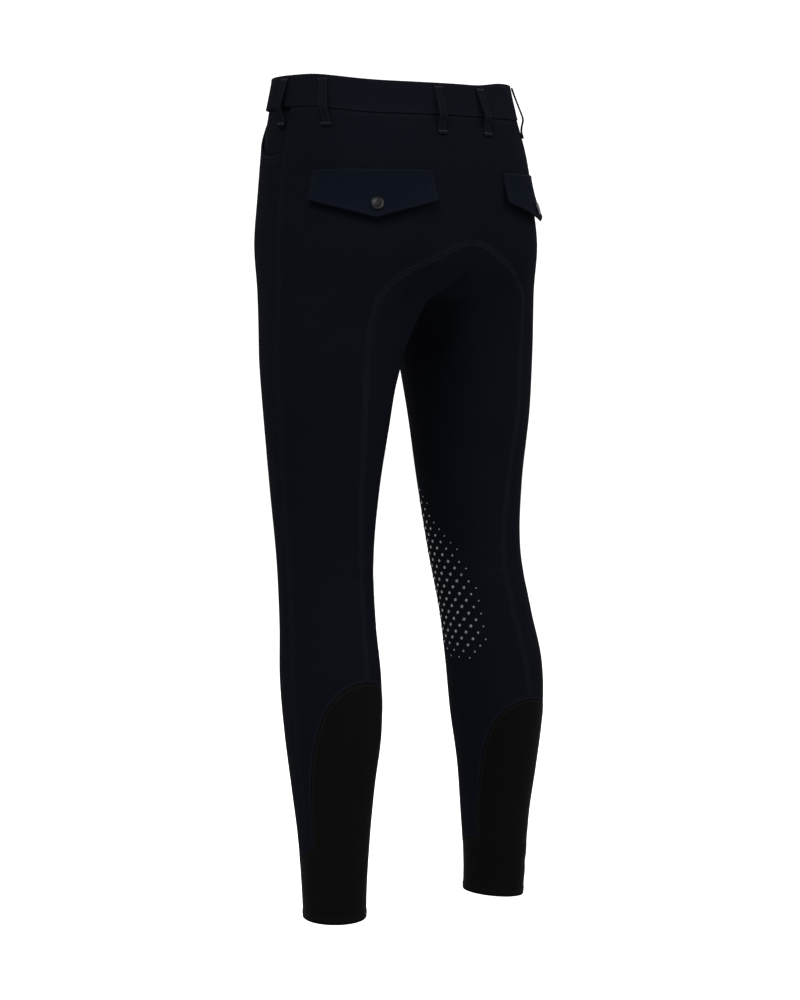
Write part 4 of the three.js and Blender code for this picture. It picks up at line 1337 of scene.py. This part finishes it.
navy = woven_cloth("navy_stretch_twill", NAVY_DARK, NAVY_LIGHT, NAVY_EDGE_HIGHLIGHT)
band_navy = woven_cloth("navy_band_twill", BAND_DARK, BAND_LIGHT, NAVY_EDGE_HIGHLIGHT)
flap_navy = woven_cloth("navy_flap_twill", FLAP_DARK, FLAP_LIGHT, NAVY_EDGE_HIGHLIGHT)
elastic = ribbed_elastic("black_rib_elastic")
navy_thread = thread_finish("navy_thread", rgb(0.00095, 0.00115, 0.0017), rgb(0.002, 0.0023, 0.0031))
dull_thread = thread_finish("navy_loop_thread", rgb(0.0009, 0.0011, 0.0016), rgb(0.0018, 0.0021, 0.0029))
black_thread = thread_finish("black_thread", rgb(0.001, 0.0011, 0.001), rgb(0.0021, 0.0023, 0.0021))
silicone = silicone_finish()
gunmetal = snap_finish()

for side in ("left", "right"):
    mirror = side == "right"
    front, front_loop, front_edges = front_panel(side)
    back, back_loop, back_edges = back_panel(side)
    calf, calf_loop, calf_edges, hem = calf_panel(side)
    seams = Thread("leg_stitching_" + side, mirror)
    for loop, edges in ((front_loop, front_edges), (back_loop, back_edges)):
        run = np.concatenate([edges["seat"], edges["back"][1:]])
        seam_run(seams, side, loop, run, STITCH_FROM_SEAM, 0.16)
    seam_ladder(seams, side, back_loop, run)
    for gap in (1.8, 6.6):
        seam_run(seams, side, front_loop, front_edges["scoop"], gap, 0.35 if gap < 3 else 0.1)
    for loop, edges in ((front_loop, front_edges), (back_loop, back_edges)):
        dome = np.concatenate([edges["dome_top"], edges["dome_side"][1:]])
        seam_run(seams, side, loop, dome, 2.0, 0.25)
    cuffs = Thread("calf_stitching_" + side, mirror)
    crown = np.concatenate([calf_edges["climb"], calf_edges["crown"][1:], calf_edges["fall"][1:]])
    seam_run(cuffs, side, calf_loop, crown, 2.0, 0.2, closed=False)
    for up in (HEM_DEPTH - 1.5, HEM_DEPTH - 4):
        points, normals = on_leg(hem[:, 0], hem[:, 1] + up)
        cuffs.run(points + normals * 0.4, normals)
    front_piece = front.sheet.shell("front_cloth_" + side, -CLOTH, 0, True, mirror)
    back_piece = back.sheet.shell("back_cloth_" + side, -CLOTH, 0, True, mirror)
    calf_piece = calf.sheet.shell("calf_cloth_" + side, -CLOTH, 0, False, mirror)
    dress(front_piece, navy, ["front_" + side])
    dress(back_piece, navy, ["back_" + side])
    dress(calf_piece, elastic, ["calf_" + side])
    leg_thread = dress(seams.piece(), navy_thread)
    calf_thread = dress(cuffs.piece(), black_thread)
    dots = dress(grip_dots(side), silicone)
    facing = dress(pocket_facing(mirror), navy, ["pocket_facing_" + side])
    flap = dress(pocket_flap(mirror), flap_navy, ["pocket_flap_" + side])
    dress(flap_snap(mirror), gunmetal, ["flap_snap_" + side])
    trim = Thread("flap_stitching_" + side, mirror)
    t = steps(60)
    rows = [(np.full(61, across), mix(0.06, 0.9, t)) for across in (0.026, 0.058, 0.974, 0.942)]
    rows.insert(0, (mix(0.01, 0.99, t), np.full(61, 0.045)))
    for across, down in rows:
        points, normals = flap_spot(across, down)
        trim.run(points + normals * (TRIM + 0.2), normals)
    flap_thread = dress(trim.piece(), navy_thread)

band = dress(waistband(), band_navy, ["waistband"])
band_thread = Thread("band_stitching")
turn = np.linspace(-105, 282, 700)
level = BAND_TOP - 2.2
points, _ = on_waist(turn, level)
points, normals = on_waist(turn, level - dip(points[:, 1]) + band_rise(turn, level))
lap = (BAND_OUTER + CLOTH + REST) * (1 - smooth((turn + 90 - 12) / 15))
band_thread.run(points + normals * (BAND_OUTER + 0.02 + lap)[:, None], normals)
band_sewing = dress(band_thread.piece(), navy_thread)
fly = dress(fly_placket(), navy, ["fly_placket"])
fly_thread = Thread("fly_stitching")
z = np.linspace(FLY["top"] - 3, FLY["bottom"] + 3, 90)
for gap in (2.2, 8.0):
    x = fly_edge(z) - gap
    keep = x > FLY["right"] + 2
    points, normals = on_middle(-1, z[keep], x[keep])
    fly_thread.run(points + normals * (REST + TRIM + 0.12), normals)
fly_sewing = dress(fly_thread.piece(), navy_thread)
dress(waist_snap(), gunmetal, ["waist_snap"])

for name, spec in LOOPS.items():
    for mirror in (False, True):
        label = name + ("_right" if mirror else "_left")
        loop = dress(belt_loop(name, mirror), band_navy, ["belt_loop_" + label])
        sewing = Thread("belt_loop_stitching_" + label, mirror)
        t = mix(0.03, 0.97, steps(50))
        points, normals, sideways, stand = loop_path(spec, mirror, t)
        for across in (-3.4, 3.4):
            high = (stand + LOOP["thick"] - 0.02)[:, None]
            sewing.run(points + normals * high + sideways * across, normals)
        for k in (1, 49):
            centre = points[k] + normals[k] * (stand[k] + LOOP["thick"])
            up = points[k + 1] - points[k]
            up /= np.linalg.norm(up)
            bar_tack(sewing, centre, sideways[k], up, normals[k], LOOP["width"] + 1.2, 2.6)
        loop_thread = dress(sewing.piece(), dull_thread)


# Floor, light and camera


def floor():
    corners = [(-9000, -9000, -1030), (9000, -9000, -1030), (9000, 9000, -1030), (-9000, 9000, -1030)]
    mesh = bpy.data.meshes.new("floor")
    mesh.from_pydata([tuple(v * MM for v in corner) for corner in corners], [], [(0, 1, 2, 3)])
    ground = bpy.data.objects.new("floor", mesh)
    bpy.context.scene.collection.objects.link(ground)
    finish = Finish("pale_floor")
    finish.shader.inputs["Base Color"].default_value = rgb(0.8, 0.8, 0.8)
    finish.shader.inputs["Roughness"].default_value = 0.9
    finish.shader.inputs["Specular IOR Level"].default_value = 0.1
    mesh.materials.append(finish.material)


def soft_light(name, place_at, target, size, watts):
    lamp = bpy.data.lights.new(name, "AREA")
    lamp.shape = "DISK"
    lamp.size = size
    lamp.energy = watts
    lamp_object = bpy.data.objects.new(name, lamp)
    bpy.context.scene.collection.objects.link(lamp_object)
    lamp_object.location = place_at
    aim(lamp_object, [t - p for t, p in zip(target, place_at)])


def aim(thing, direction):
    """Turns a lamp or camera so that it looks along a direction."""
    thing.rotation_euler = Vector(direction).to_track_quat("-Z", "Y").to_euler()


def camera():
    lens = bpy.data.cameras.new("camera")
    lens.sensor_fit = "HORIZONTAL"
    lens.sensor_width = SENSOR
    lens.lens = FOCAL_PIXELS / IMAGE_WIDTH * SENSOR
    lens.clip_end = 60
    thing = bpy.data.objects.new("camera", lens)
    bpy.context.scene.collection.objects.link(thing)
    azimuth = math.radians(CAMERA_AZIMUTH)
    yaw = math.radians(CAMERA_YAW)
    pitch = math.radians(CAMERA_PITCH)
    thing.location = (
        CAMERA_DISTANCE * math.sin(azimuth) * MM,
        CAMERA_DISTANCE * math.cos(azimuth) * MM,
        CAMERA_HEIGHT * MM,
    )
    aim(thing, (-math.sin(yaw) * math.cos(pitch), -math.cos(yaw) * math.cos(pitch), -math.sin(pitch)))
    bpy.context.scene.camera = thing


floor()
camera()
soft_light("key_light", (2.3, 1.5, 2.7), (0, 0, -0.3), 2.0, 400)
soft_light("fill_light", (-1.5, 2.7, 2.2), (0, 0, -0.4), 2.4, 190)
world = bpy.data.worlds.new("studio")
world.use_nodes = True
world.node_tree.nodes["Background"].inputs["Color"].default_value = rgb(1, 1, 1)
world.node_tree.nodes["Background"].inputs["Strength"].default_value = 1.27
bpy.context.scene.world = world
bpy.context.scene.view_settings.view_transform = "Standard"
